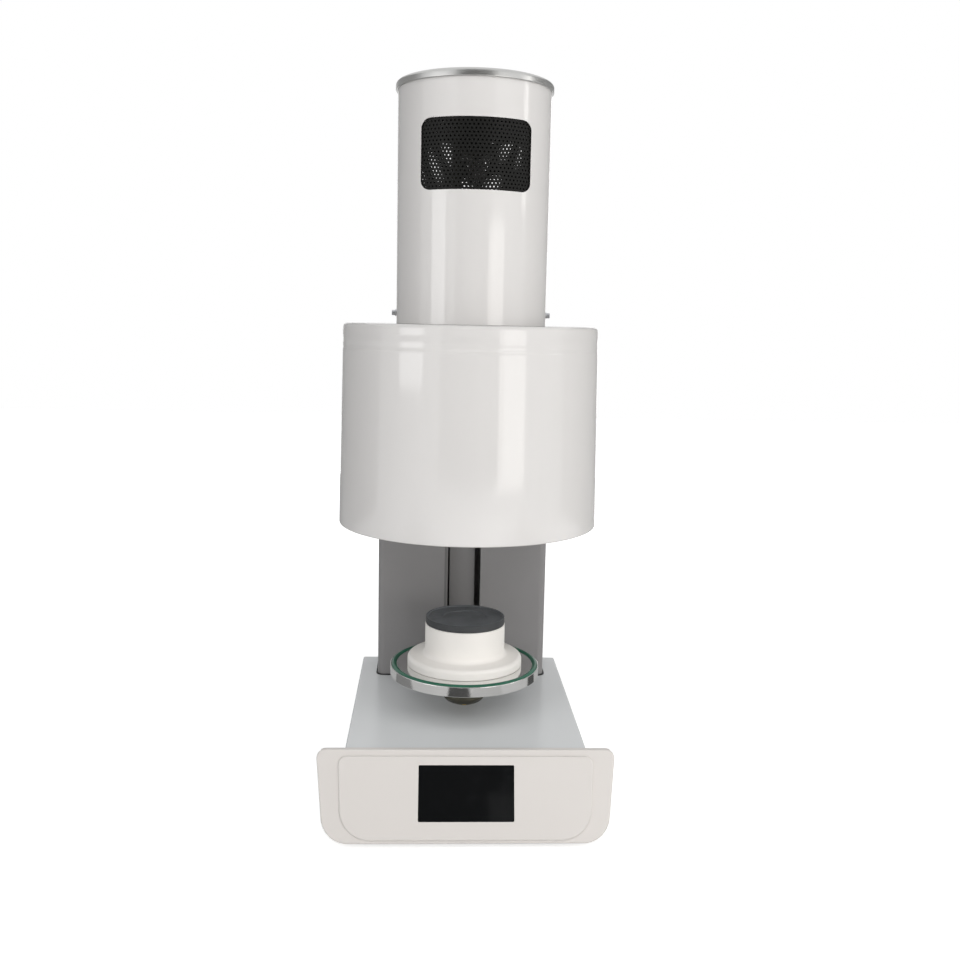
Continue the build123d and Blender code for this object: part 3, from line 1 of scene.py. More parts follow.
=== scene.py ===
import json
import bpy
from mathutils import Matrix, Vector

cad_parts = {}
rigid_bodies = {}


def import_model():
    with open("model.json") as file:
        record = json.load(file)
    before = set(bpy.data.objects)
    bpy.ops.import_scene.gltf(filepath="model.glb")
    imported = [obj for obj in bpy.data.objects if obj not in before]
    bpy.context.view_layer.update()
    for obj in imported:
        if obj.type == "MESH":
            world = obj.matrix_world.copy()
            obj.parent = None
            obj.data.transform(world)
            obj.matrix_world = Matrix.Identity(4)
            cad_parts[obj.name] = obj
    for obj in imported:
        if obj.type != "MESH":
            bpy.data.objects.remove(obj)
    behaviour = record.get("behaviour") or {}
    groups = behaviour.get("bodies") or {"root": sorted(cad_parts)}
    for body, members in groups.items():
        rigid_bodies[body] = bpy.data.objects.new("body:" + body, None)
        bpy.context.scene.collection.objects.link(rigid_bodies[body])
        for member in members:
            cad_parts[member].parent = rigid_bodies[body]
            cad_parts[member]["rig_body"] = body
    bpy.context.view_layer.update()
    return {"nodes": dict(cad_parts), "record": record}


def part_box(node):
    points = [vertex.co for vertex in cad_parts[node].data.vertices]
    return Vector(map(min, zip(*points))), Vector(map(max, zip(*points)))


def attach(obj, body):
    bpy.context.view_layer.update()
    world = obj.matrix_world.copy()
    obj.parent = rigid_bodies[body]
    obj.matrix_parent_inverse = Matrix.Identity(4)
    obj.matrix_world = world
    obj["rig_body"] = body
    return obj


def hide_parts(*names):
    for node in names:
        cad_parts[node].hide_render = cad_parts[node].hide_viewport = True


bl_info = {
    "name": "Dental lab furnace",
    "version": (1, 0, 0),
    "blender": (4, 5, 0),
    "location": "3D View > Sidebar > Furnace",
    "description": "Builds a dental vacuum press furnace piece by piece",
    "category": "Add Mesh",
}

from math import asin, cos, hypot, pi, radians, sin, tan

import bmesh
import bpy
from bpy.props import FloatProperty, FloatVectorProperty, IntProperty, PointerProperty
from mathutils import Matrix, Vector

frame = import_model()

MM = 0.001
UP = (0, 0, 1)
SLOTS = {part["node"]: part["material_slot"] for part in frame["record"]["subparts"]}


class Extent:
    """Where a node of the frame lies at rest."""

    def __init__(self, node):
        low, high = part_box(node)
        self.left, self.front, self.bottom = low
        self.right, self.back, self.top = high
        self.radius = (self.right - self.left) / 2
        self.centre = (Vector(low) + Vector(high)) / 2


LIFT_Y = Extent("tower_tube").centre.y


# Modelling


def mm(*points):
    """Points written in millimetres, in metres."""
    return [tuple(part * MM for part in point) for point in points]


def pick_nothing():
    if bpy.context.mode != "OBJECT":
        leave()
    bpy.ops.object.select_all(action="DESELECT")


def pick(piece):
    pick_nothing()
    piece.select_set(True)
    bpy.context.view_layer.objects.active = piece


def edit(piece, kind="VERT"):
    """Opens a piece in edit mode with nothing selected."""
    pick(piece)
    bpy.ops.object.mode_set(mode="EDIT")
    bpy.ops.mesh.select_mode(type=kind)
    bpy.ops.mesh.select_all(action="DESELECT")


def take_all():
    """Selects all of the piece in edit mode."""
    bpy.ops.mesh.select_all(action="SELECT")


def face_out():
    """Turns all faces of the piece in edit mode outwards."""
    take_all()
    bpy.ops.mesh.normals_make_consistent(inside=False)


def merge_all():
    """Merges what coincides on the piece in edit mode."""
    take_all()
    bpy.ops.mesh.remove_doubles(threshold=1e-6)


def leave():
    bpy.ops.object.mode_set(mode="OBJECT")


def select_where(piece, kind, test):
    """Selects the verts, edges or faces of the piece in edit mode that pass the test."""
    mesh = bmesh.from_edit_mesh(piece.data)
    found = [item for item in getattr(mesh, kind) if test(item)]
    if not found:
        raise RuntimeError(f"nothing to select on {piece.name}")
    for item in found:
        item.select_set(True)
    mesh.select_flush_mode()
    bmesh.update_edit_mesh(piece.data)


def outline(name, points, closed=False):
    """Draws a chain of edges through (radius, height) points in the XZ plane."""
    pick_nothing()
    bpy.ops.mesh.primitive_plane_add(size=MM, location=(0, 0, 0))
    piece = bpy.context.active_object
    piece.name = name
    edit(piece)
    take_all()
    bpy.ops.mesh.merge(type="CENTER")
    places = [Vector((radius, 0, height)) for radius, height in points]
    bpy.ops.transform.translate(value=places[0])
    for last, place in zip(places, places[1:]):
        bpy.ops.mesh.extrude_vertices_move(TRANSFORM_OT_translate={"value": place - last})
    if closed:
        ends = (places[0], places[-1])
        bpy.ops.mesh.select_all(action="DESELECT")
        select_where(piece, "verts", lambda v: min((v.co - end).length for end in ends) < 1e-7)
        bpy.ops.mesh.edge_face_add()
    return piece


def fillet(piece, corner, radius, segments):
    """Rounds the corner of an outline at a (radius, height) point."""
    target = Vector((corner[0], 0, corner[1]))
    bpy.ops.mesh.select_mode(type="VERT")
    bpy.ops.mesh.select_all(action="DESELECT")
    mesh = bmesh.from_edit_mesh(piece.data)
    vertex = min(mesh.verts, key=lambda v: (v.co - target).length)
    vertex.select_set(True)
    arms = [(edge.other_vert(vertex).co - vertex.co).normalized() for edge in vertex.link_edges]
    reach = radius / tan(arms[0].angle(arms[1]) / 2)
    bmesh.update_edit_mesh(piece.data)
    bpy.ops.mesh.bevel(offset=reach, segments=segments, affect="VERTICES")


def turned(name, points, fillets=(), steps=96, closed=False, centre=(0, LIFT_Y, 0)):
    """A lathe part: (radius, height) points, with (corner index, radius, segments) fillets."""
    piece = outline(name, points, closed)
    for index, radius, segments in fillets:
        fillet(piece, points[index], radius, segments)
    take_all()
    bpy.ops.mesh.spin(steps=steps, angle=2 * pi, center=(0, 0, 0), axis=UP)
    merge_all()
    face_out()
    bpy.ops.transform.translate(value=centre)
    leave()
    return piece


def block(name, low, high):
    """A box between two corners, to be shaped further or used as a cutter."""
    pick_nothing()
    bpy.ops.mesh.primitive_cube_add(size=1, location=(Vector(low) + Vector(high)) / 2)
    piece = bpy.context.active_object
    piece.name = name
    piece.scale = Vector(high) - Vector(low)
    bpy.ops.object.transform_apply()
    return piece


def prism(name, sides, radius, low, high, centre=(0, 0)):
    """An upright prism, to be shaped further or used as a cutter."""
    pick_nothing()
    middle = (*centre, (low + high) / 2)
    bpy.ops.mesh.primitive_cylinder_add(vertices=sides, radius=radius, depth=high - low, location=middle)
    bpy.context.active_object.name = name
    bpy.ops.object.transform_apply()
    return bpy.context.active_object


def round_edges(piece, test, width, segments):
    """Rounds the edges of a piece that pass the test."""
    edit(piece, "EDGE")
    select_where(piece, "edges", test)
    bpy.ops.mesh.bevel(offset=width, segments=segments, affect="EDGES")
    leave()


def climb(edge):
    """How far an edge rises."""
    return abs(edge.verts[0].co.z - edge.verts[1].co.z)


def apply_modifier(piece, kind, **settings):
    pick(piece)
    modifier = piece.modifiers.new(kind.lower(), kind)
    for key, value in settings.items():
        setattr(modifier, key, value)
    bpy.ops.object.modifier_apply(modifier=modifier.name)


def coil(piece, angle, rise, steps, turns=1):
    """Winds a section about the upright axis through the origin while it rises."""
    apply_modifier(
        piece,
        "SCREW",
        axis="Z",
        angle=angle,
        screw_offset=rise,
        iterations=turns,
        steps=steps,
        render_steps=steps,
    )


def cut(piece, cutter):
    """Cuts another piece, which is used up, out of this one."""
    apply_modifier(piece, "BOOLEAN", operation="DIFFERENCE", solver="EXACT", object=cutter)
    bpy.data.objects.remove(cutter)
    return piece


def smooth(piece, angle=32):
    """Smooth faces with crisp edges, weighted by the faces' size."""
    pick(piece)
    bpy.ops.object.shade_smooth_by_angle(angle=radians(angle))
    apply_modifier(piece, "WEIGHTED_NORMAL", keep_sharp=True, weight=60)
    return piece


def copied(piece, name):
    """A copy of a piece with its own mesh."""
    pick(piece)
    bpy.ops.object.duplicate()
    bpy.context.active_object.name = name
    return bpy.context.active_object


def stand(piece, place, direction):
    """Turns a piece's upright axis to a direction and moves its origin to a place."""
    pick(piece)
    facing = Vector(direction).to_track_quat("Z", "Y").to_matrix().to_4x4()
    piece.matrix_world = Matrix.Translation(place) @ facing
    bpy.ops.object.transform_apply()
    return piece


def join(pieces, name):
    pick_nothing()
    for piece in pieces:
        piece.select_set(True)
    bpy.context.view_layer.objects.active = pieces[0]
    bpy.ops.object.join()
    pieces[0].name = name
    return pieces[0]


def repeated(piece, stands):
    """Copies of a piece at each (place, direction), joined in its stead."""
    name = piece.name
    copies = [stand(copied(piece, name), place, direction) for place, direction in stands]
    bpy.data.objects.remove(piece)
    return join(copies, name)


def bolt(name, head_radius, head_height, socket, shank_radius, shank_length, dome=0.3 * MM):
    """A socket screw that stands on its shank, with the seat of its head at the origin."""
    points = [
        (0, -shank_length),
        (shank_radius, -shank_length),
        (shank_radius, 0),
        (head_radius, 0),
        (head_radius, head_height),
        (0, head_height),
    ]
    fillets = [(1, 0.3 * MM, 2), (3, 0.15 * MM, 2), (4, dome, 4)]
    screw = turned(name, points, fillets, 32, centre=(0, 0, 0))
    return smooth(cut(screw, prism("key", 6, socket, head_height * 0.45, head_height + MM)))


def threaded(name, radius, pitch, low, high, spot):
    """A rod with a trapezoidal thread, cut off square at both ends."""
    root = radius - pitch * 0.28
    start = low - pitch
    flanks = [(root, 0), (root, 0.22), (radius, 0.38), (radius, 0.68), (root, 0.84), (root, 1)]
    rod = outline(name, [(reach, start + pitch * share) for reach, share in flanks])
    leave()
    coil(rod, 2 * pi, pitch, 20, int((high - low) / pitch) + 3)
    edit(rod)
    merge_all()
    for level, normal in ((high, 1), (low, -1)):
        take_all()
        bpy.ops.mesh.bisect(
            plane_co=(0, 0, level), plane_no=(0, 0, normal), clear_outer=True, use_fill=True
        )
    face_out()
    bpy.ops.transform.translate(value=(*spot, 0))
    leave()
    return smooth(rod, 40)


def solids(node):
    """The boxes of a node's separate solids, as (low, high) corners."""
    mesh = bmesh.new()
    mesh.from_mesh(frame["nodes"][node].data)
    bmesh.ops.remove_doubles(mesh, verts=mesh.verts, dist=1e-6)
    waiting = set(mesh.verts)
    boxes = []
    while waiting:
        reached = [waiting.pop()]
        for vertex in reached:
            for edge in vertex.link_edges:
                other = edge.other_vert(vertex)
                if other in waiting:
                    waiting.remove(other)
                    reached.append(other)
        corners = list(zip(*[vertex.co for vertex in reached]))
        boxes.append((Vector([min(side) for side in corners]), Vector([max(side) for side in corners])))
    mesh.free()
    return sorted(boxes, key=lambda box: tuple(box[0]))


def middles(node):
    """The middles of a node's separate solids."""
    return [(low + high) / 2 for low, high in solids(node)]


def span_at(node, spot, low, high):
    """The lowest and highest point of a node between two distances from an upright line."""
    places = [vertex.co for vertex in frame["nodes"][node].data.vertices]
    heights = [place.z for place in places if low < hypot(place.x - spot[0], place.y - spot[1]) < high]
    return min(heights), max(heights)


def paint(piece, look):
    """Gives a piece a finish in place of what it has."""
    piece.data.materials.clear()
    piece.data.materials.append(finish(look))


def fit(piece, node, look=None):
    """Puts a piece on a node's body, in the finish of the node's slot or in another look."""
    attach(piece, frame["nodes"][node]["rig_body"])
    paint(piece, look or SLOTS[node])


def settle(piece, node):
    """Puts a finished piece in its node's place, on the node's body and in its finish."""
    pick(piece)
    bpy.ops.object.transform_apply()
    fit(piece, node)
    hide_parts(node)


# Materials


class Nodes:
    """A node tree that is being filled."""

    def __init__(self, tree):
        self.tree = tree

    def feed(self, socket, value):
        """Gives a socket a constant or a link."""
        if isinstance(value, Number):
            value = value.socket
        if isinstance(value, bpy.types.NodeSocket):
            self.tree.links.new(value, socket)
        else:
            socket.default_value = value

    def node(self, kind, inputs, **settings):
        """Adds a node with its settings and what goes into its sockets."""
        node = self.tree.nodes.new(kind)
        for key, value in settings.items():
            setattr(node, key, value)
        for key, value in inputs.items():
            self.feed(node.inputs[key], value)
        return node

    def ray(self, kind):
        """1 for rays of a kind, such as Camera or Glossy, and 0 for all others."""
        return Number(self, self.node("ShaderNodeLightPath", {}).outputs[f"Is {kind} Ray"])


class Number:
    """A value that changes over a surface, with Python's own operators."""

    def __init__(self, nodes, socket):
        self.nodes = nodes
        self.socket = socket

    def math(self, operation, *values):
        node = self.nodes.node("ShaderNodeMath", dict(enumerate(values)), operation=operation)
        return Number(self.nodes, node.outputs[0])

    def __add__(self, other):
        return self.math("ADD", self, other)

    def __radd__(self, other):
        return self.math("ADD", other, self)

    def __sub__(self, other):
        return self.math("SUBTRACT", self, other)

    def __rsub__(self, other):
        return self.math("SUBTRACT", other, self)

    def __mul__(self, other):
        return self.math("MULTIPLY", self, other)

    def __rmul__(self, other):
        return self.math("MULTIPLY", other, self)

    def __truediv__(self, other):
        return self.math("DIVIDE", self, other)

    def __rtruediv__(self, other):
        return self.math("DIVIDE", other, self)

    def at_least(self, other):
        return self.math("MAXIMUM", self, other)

    def root(self):
        return self.math("SQRT", self)


class Coat(Nodes):
    """A procedural material that is being mixed."""

    def __init__(self, colour, rough, metal=0.0, **constants):
        self.colour = colour
        self.material = bpy.data.materials.new("coat")
        self.material.use_nodes = True
        self.material.diffuse_color = (*colour, 1)
        super().__init__(self.material.node_tree)
        self.shader = self.tree.nodes["Principled BSDF"]
        self.set("Base Color", (*colour, 1))
        self.set("Roughness", rough)
        self.set("Metallic", metal)
        for key, value in constants.items():
            self.set(key.replace("_", " "), value)

    def set(self, name, value):
        self.feed(self.shader.inputs[name], value)

    def place(self, centre=(0, 0, 0), scale=(1, 1, 1)):
        """Object coordinates with their origin at the centre."""
        origin = self.node("ShaderNodeTexCoord", {}).outputs["Object"]
        moved = self.node("ShaderNodeVectorMath", {0: origin, 1: centre}, operation="SUBTRACT")
        mapping = self.node("ShaderNodeMapping", {"Vector": moved.outputs[0], "Scale": scale})
        return mapping.outputs["Vector"]

    def polar(self, centre=(0, LIFT_Y, 0)):
        """The distance from the upright axis through the centre, and the height."""
        split = self.node("ShaderNodeSeparateXYZ", {0: self.place(centre)})
        x, y, z = [Number(self, output) for output in split.outputs]
        return (x * x + y * y).root(), z

    def noise(self, scale, where=None, detail=2.0, roughness=0.5, distortion=0.0):
        inputs = {"Scale": scale, "Detail": detail, "Roughness": roughness, "Distortion": distortion}
        inputs["Vector"] = where or self.place()
        return Number(self, self.node("ShaderNodeTexNoise", inputs).outputs[0])

    def cells(self, scale, feature="F1"):
        inputs = {"Scale": scale, "Vector": self.place()}
        return Number(self, self.node("ShaderNodeTexVoronoi", inputs, feature=feature).outputs["Distance"])

    def between(self, value, low, high, to_low=0.0, to_high=1.0):
        """Maps the span low to high onto another one, held at its ends."""
        inputs = {"Value": value, "From Min": low, "From Max": high, "To Min": to_low, "To Max": to_high}
        node = self.node("ShaderNodeMapRange", inputs, interpolation_type="SMOOTHSTEP")
        return Number(self, node.outputs["Result"])

    def shade(self, *steps):
        """Blends the colour by (factor, other) steps, towards a colour or a tone of its own."""
        current = (*self.colour, 1)
        for factor, other in steps:
            if isinstance(other, float):
                other = tone(self.colour, other)
            inputs = {0: factor, 6: current, 7: (*other, 1)}
            current = self.node("ShaderNodeMix", inputs, data_type="RGBA").outputs[2]
        self.set("Base Color", current)

    def bump(self, height, distance, strength=1.0):
        inputs = {"Height": height, "Distance": distance, "Strength": strength}
        self.set("Normal", self.node("ShaderNodeBump", inputs).outputs["Normal"])

    def put_on(self, piece, name):
        """Names the material and puts it on a piece."""
        self.material.name = name
        piece.data.materials.append(self.material)


def tone(colour, factor):
    return tuple(min(1.0, part * factor) for part in colour)


def chosen(name):
    """A colour from the panel."""
    return tuple(getattr(bpy.context.scene.furnace_colours, name))


def gloss_paint(colour, rough, peel, sheen):
    """Powder coat: soft orange peel, faint wipe marks and a little unevenness in its tone."""
    coat = Coat(colour, rough, Specular_IOR_Level=sheen)
    wide = coat.noise(9.0, detail=3.0)
    wiped = coat.noise(26.0, coat.place(scale=(1.0, 1.0, 0.35)), detail=4.0, roughness=0.6)
    specks = coat.between(coat.cells(420.0), 0.0, 0.07, 1.0, 0.0)
    specks = specks * coat.between(coat.noise(60.0), 0.62, 0.7)
    coat.shade((coat.between(wide, 0.3, 0.75) * 0.4, 0.98), (specks * 0.35, 0.7))
    coat.set("Roughness", rough + (wiped - 0.5) * rough * 0.45 + specks * 0.1)
    coat.bump(coat.noise(330.0, detail=1.0) + coat.noise(95.0, detail=0.0) * 1.4, 0.00003 * peel, 0.5)
    return coat


def grained_paint(colour):
    """Matt paint with a fine grain."""
    coat = Coat(colour, 0.4)
    grain = coat.noise(1500.0, roughness=0.7)
    wide = coat.noise(11.0, detail=3.0)
    coat.shade((coat.between(grain, 0.35, 0.7) * 0.35, 1.16), (coat.between(wide, 0.4, 0.7) * 0.5, 0.95))
    coat.set("Roughness", 0.36 + (coat.noise(40.0, detail=3.0) - 0.5) * 0.12)
    coat.bump(grain + coat.noise(500.0), 0.00004, 0.6)
    return coat


def moulding(colour):
    """White plastic with a hazy gloss."""
    coat = Coat(colour, 0.3)
    wide = coat.noise(5.0, detail=1.0, roughness=0.3)
    haze = coat.noise(14.0, coat.place(scale=(0.5, 1.0, 1.0)), detail=1.0)
    coat.shade((coat.between(wide, 0.3, 0.75) * 0.3, 0.985))
    coat.set("Roughness", 0.32 + (haze - 0.5) * 0.04)
    coat.bump(coat.noise(900.0, detail=1.0), 0.000004, 0.3)
    return coat


def dark_glass():
    """A dark cover glass with finger marks."""
    coat = Coat((0.006, 0.0065, 0.007), 0.06, IOR=1.42)
    smudge = coat.noise(38.0, detail=6.0, roughness=0.7, distortion=0.4)
    prints = coat.between(smudge, 0.5, 0.75)
    coat.set("Roughness", 0.05 + prints * 0.16)
    coat.shade((prints * 0.3, (0.012, 0.013, 0.015)))
    return coat


def grained(coat, grain, high, share, other, depth):
    """Gives a coat a grain, in its colour and as relief."""
    coat.shade((coat.between(grain, 0.4, high) * share, other))
    coat.bump(grain, depth)
    return coat


def black_plastic():
    coat = Coat((0.018, 0.018, 0.019), 0.45)
    coat.set("Roughness", 0.42 + (coat.noise(70.0) - 0.5) * 0.2)
    return grained(coat, coat.noise(1800.0), 0.7, 0.6, (0.03, 0.03, 0.032), 0.00003)


def black_sheet():
    coat = Coat((0.008, 0.008, 0.0075), 0.5, Specular_IOR_Level=0.14)
    coat.set("Roughness", 0.46 + (coat.noise(60.0, detail=3.0) - 0.5) * 0.2)
    return grained(coat, coat.noise(1400.0), 0.75, 0.6, (0.014, 0.014, 0.0135), 0.00002)


def components():
    coat = Coat((0.035, 0.035, 0.04), 0.5)
    return grained(coat, coat.noise(1500.0), 0.7, 0.5, (0.06, 0.06, 0.065), 0.00003)


def heater_wire():
    coat = Coat((0.2, 0.18, 0.16), 0.6, 0.6)
    scale = coat.noise(700.0, detail=4.0)
    coat.set("Roughness", 0.5 + (scale - 0.5) * 0.3)
    return grained(coat, scale, 0.7, 0.7, (0.09, 0.08, 0.075), 0.00005)


def black_rubber():
    """Rubber with dust on it."""
    coat = Coat((0.022, 0.022, 0.023), 0.7)
    dust = coat.between(coat.noise(120.0, detail=4.0), 0.45, 0.75)
    coat.shade((dust * 0.5, (0.06, 0.058, 0.055)))
    coat.set("Roughness", 0.62 + dust * 0.2)
    coat.bump(coat.noise(900.0, detail=3.0), 0.00005)
    return coat


def seal_rubber(colour):
    coat = Coat(colour, 0.38)
    coat.shade((coat.between(coat.noise(60.0, detail=3.0), 0.4, 0.7) * 0.5, 1.35))
    coat.set("Roughness", 0.34 + (coat.noise(140.0, detail=3.0) - 0.5) * 0.2)
    coat.bump(coat.noise(1200.0), 0.00002)
    return coat


def turned_metal(colour, rough, pitch, depth):
    """Metal from a lathe: fine rings about the lift's axis, with slight stains."""
    coat = Coat(colour, rough, 1.0)
    radius, height = coat.polar()
    across = coat.node("ShaderNodeCombineXYZ", {0: radius / pitch, 1: height / pitch}).outputs[0]
    rings = coat.noise(1.0, across, roughness=0.7)
    stain = coat.noise(45.0, detail=4.0)
    coat.shade((coat.between(rings, 0.3, 0.7) * depth, 0.8), (coat.between(stain, 0.45, 0.75) * 0.3, 0.85))
    coat.set("Roughness", rough + (rings - 0.5) * rough * 0.8 + (stain - 0.5) * 0.05)
    coat.bump(rings, 0.000012)
    return coat


def sheet_metal(colour, rough):
    """Plated sheet: cloudy spangle and fine rolling lines."""
    coat = Coat(colour, rough, 1.0)
    spangle = coat.noise(130.0, detail=5.0, roughness=0.65)
    lines = coat.noise(1.0, coat.place(scale=(90.0, 3000.0, 3000.0)))
    coat.shade((coat.between(spangle, 0.35, 0.7) * 0.5, 0.78), (coat.between(lines, 0.5, 0.8) * 0.3, 1.15))
    coat.set("Roughness", rough + (spangle - 0.5) * 0.2)
    coat.bump(lines, 0.000008)
    return coat


def fired_ceramic(colour):
    """Pale ceramic with clouds and fine pores."""
    coat = Coat(colour, 0.75)
    grain = coat.noise(900.0, detail=4.0, roughness=0.7)
    cloud = coat.noise(24.0, detail=4.0)
    pores = coat.between(coat.cells(650.0), 0.0, 0.16, 1.0, 0.0) * coat.between(coat.noise(90.0), 0.5, 0.62)
    coat.shade((coat.between(cloud, 0.4, 0.75) * 0.6, 0.95), (pores * 0.5, 0.72))
    coat.set("Roughness", 0.68 + (grain - 0.5) * 0.25)
    coat.bump(grain - pores * 0.8, 0.00006, 0.8)
    return coat


def tray_ceramic(colour):
    """Dark, glinting ceramic, with painted shade that darkens the tray's outer wall"""
    coat = Coat(colour, 0.62)
    grain = coat.noise(1300.0, detail=4.0, roughness=0.75)
    glints = coat.between(coat.cells(1500.0), 0.0, 0.18, 1.0, 0.0)
    cloud = coat.noise(50.0, detail=4.0)
    # The outer wall is darkened to about a third of the colour: painted shade
    wall = Extent("firing_tray").radius
    outer = coat.between(coat.polar()[0], wall - 0.6 * MM, wall - 0.1 * MM)
    coat.shade(
        (coat.between(grain, 0.35, 0.7) * 0.5, 1.5),
        (coat.between(cloud, 0.45, 0.7) * 0.5, 0.75),
        (outer * 0.9, 0.28),
        (glints * 0.35, 2.6),
    )
    coat.set("Roughness", 0.6 - glints * 0.25 + (cloud - 0.5) * 0.1)
    coat.bump(grain, 0.00006)
    return coat


def ceramic_fibre():
    coat = Coat((0.83, 0.81, 0.77), 0.95)
    felt = coat.noise(420.0, coat.place(scale=(1, 1, 3)), detail=6.0, roughness=0.8)
    coat.shade((coat.between(felt, 0.35, 0.75) * 0.6, (0.7, 0.67, 0.62)))
    coat.bump(felt, 0.0003)
    return coat


def quartz():
    coat = Coat((0.9, 0.92, 0.93), 0.08, Transmission_Weight=1.0, IOR=1.458)
    coat.set("Roughness", 0.05 + coat.between(coat.noise(60.0, detail=4.0), 0.4, 0.8) * 0.2)
    return coat


def circuit_board():
    """Green lacquer with raised tracks."""
    coat = Coat((0.02, 0.14, 0.07), 0.35)
    tracks = coat.between(coat.cells(160.0, "DISTANCE_TO_EDGE"), 0.02, 0.05, 1.0, 0.0)
    coat.shade((tracks * 0.6, (0.05, 0.26, 0.13)))
    coat.set("Roughness", 0.32 + tracks * 0.15)
    coat.bump(tracks, 0.00003)
    return coat


MIXERS = {
    "white_gloss_paint": lambda: gloss_paint(chosen("white_paint"), rough=0.08, peel=0.35, sheen=0.5),
    "base_paint": lambda: gloss_paint(chosen("base_paint"), rough=0.2, peel=0.8, sheen=0.15),
    "grey_paint": lambda: grained_paint(chosen("grey_paint")),
    # A darker copy of the grey paint: painted shade for the lip along the column's slot
    "grey_paint_shaded": lambda: grained_paint(tone(chosen("grey_paint"), 0.68)),
    "white_plastic": lambda: moulding(chosen("white_plastic")),
    "screen_glass": dark_glass,
    "black_plastic": black_plastic,
    "black_rubber": black_rubber,
    "green_rubber": lambda: seal_rubber(chosen("seal")),
    "polished_steel": lambda: turned_metal((0.82, 0.82, 0.81), rough=0.09, pitch=0.0003, depth=0.2),
    "brushed_steel": lambda: turned_metal((0.585, 0.585, 0.575), rough=0.3, pitch=0.00025, depth=0.6),
    "dark_steel": lambda: turned_metal((0.1, 0.095, 0.075), rough=0.36, pitch=0.0003, depth=0.5),
    "brass": lambda: turned_metal((0.72, 0.53, 0.24), rough=0.24, pitch=0.0002, depth=0.4),
    "zinc_steel": lambda: sheet_metal((0.58, 0.59, 0.61), rough=0.34),
    "aluminium": lambda: sheet_metal((0.74, 0.74, 0.75), rough=0.32),
    "black_sheet": black_sheet,
    "ceramic": lambda: fired_ceramic(chosen("ceramic")),
    "tray_ceramic": lambda: tray_ceramic(chosen("tray")),
    "ceramic_fibre": ceramic_fibre,
    "quartz": quartz,
    "heater_wire": heater_wire,
    "circuit_board": circuit_board,
    "components": components,
}


def finish(slot):
    """The material of a slot, mixed when it is first asked for."""
    name = "finish_" + slot
    if name not in bpy.data.materials:
        MIXERS[slot]().material.name = name
    return bpy.data.materials[name]


# Sizes and colours


def length(name, description, default):
    return FloatProperty(name=name, description=description, default=default, unit="LENGTH", precision=5)


def colour(name, description, default):
    return FloatVectorProperty(
        name=name, description=description, default=default, size=3, min=0, max=1, subtype="COLOR"
    )


class FurnaceSizes(bpy.types.PropertyGroup):
    crease_height: length("Crease height", "Bench to the pressed crease of the muffle", 0.485)
    crease_depth: length("Crease depth", "Depth of the waves pressed in above the crease", 0.5 * MM)
    muffle_fillet: length("Muffle fillet", "Rounding of the muffle's upper edge", 4 * MM)
    tower_wall: length("Tower wall", "Sheet thickness of the tower", 1.6 * MM)
    window_corner: length("Window corner", "Corner radius of the tower windows", 9 * MM)
    cap_round: length("Cap round", "Rounding of the cap's upper edge", 3.6 * MM)
    hole_pitch: length("Hole pitch", "Between the holes of a grille, across", 4.1 * MM)
    hole_row: length("Hole row", "Between the rows of a grille", 3.55 * MM)
    hole_size: length("Hole size", "Diameter of a grille's holes", 1.95 * MM)
    bezel_wall: length("Bezel wall", "Thickness of the bezel's moulding", 3 * MM)
    bezel_low_half: length("Bezel half width", "Half the bezel's width at its lower edge", 141.2 * MM)
    steps: IntProperty(name="Steps", description="Facets round the large turned parts", default=192, min=24)


class FurnaceColours(bpy.types.PropertyGroup):
    white_paint: colour("White paint", "Muffle and tower", (0.69, 0.677, 0.668))
    grey_paint: colour("Grey paint", "Column", (0.27, 0.264, 0.266))
    base_paint: colour("Base paint", "Base cover", (0.81, 0.83, 0.84))
    white_plastic: colour("White moulding", "Bezel and control plate", (0.72, 0.69, 0.665))
    seal: colour("Seal", "Rubber ring on the table", (0.015, 0.11, 0.065))
    ceramic: colour("Ceramic", "Pedestal", (0.9, 0.875, 0.84))
    tray: colour("Tray", "Firing tray", (0.124, 0.132, 0.141))
    sky: FloatProperty(name="Surroundings", description="Strength of the even light", default=0.26, min=0)


# Pieces


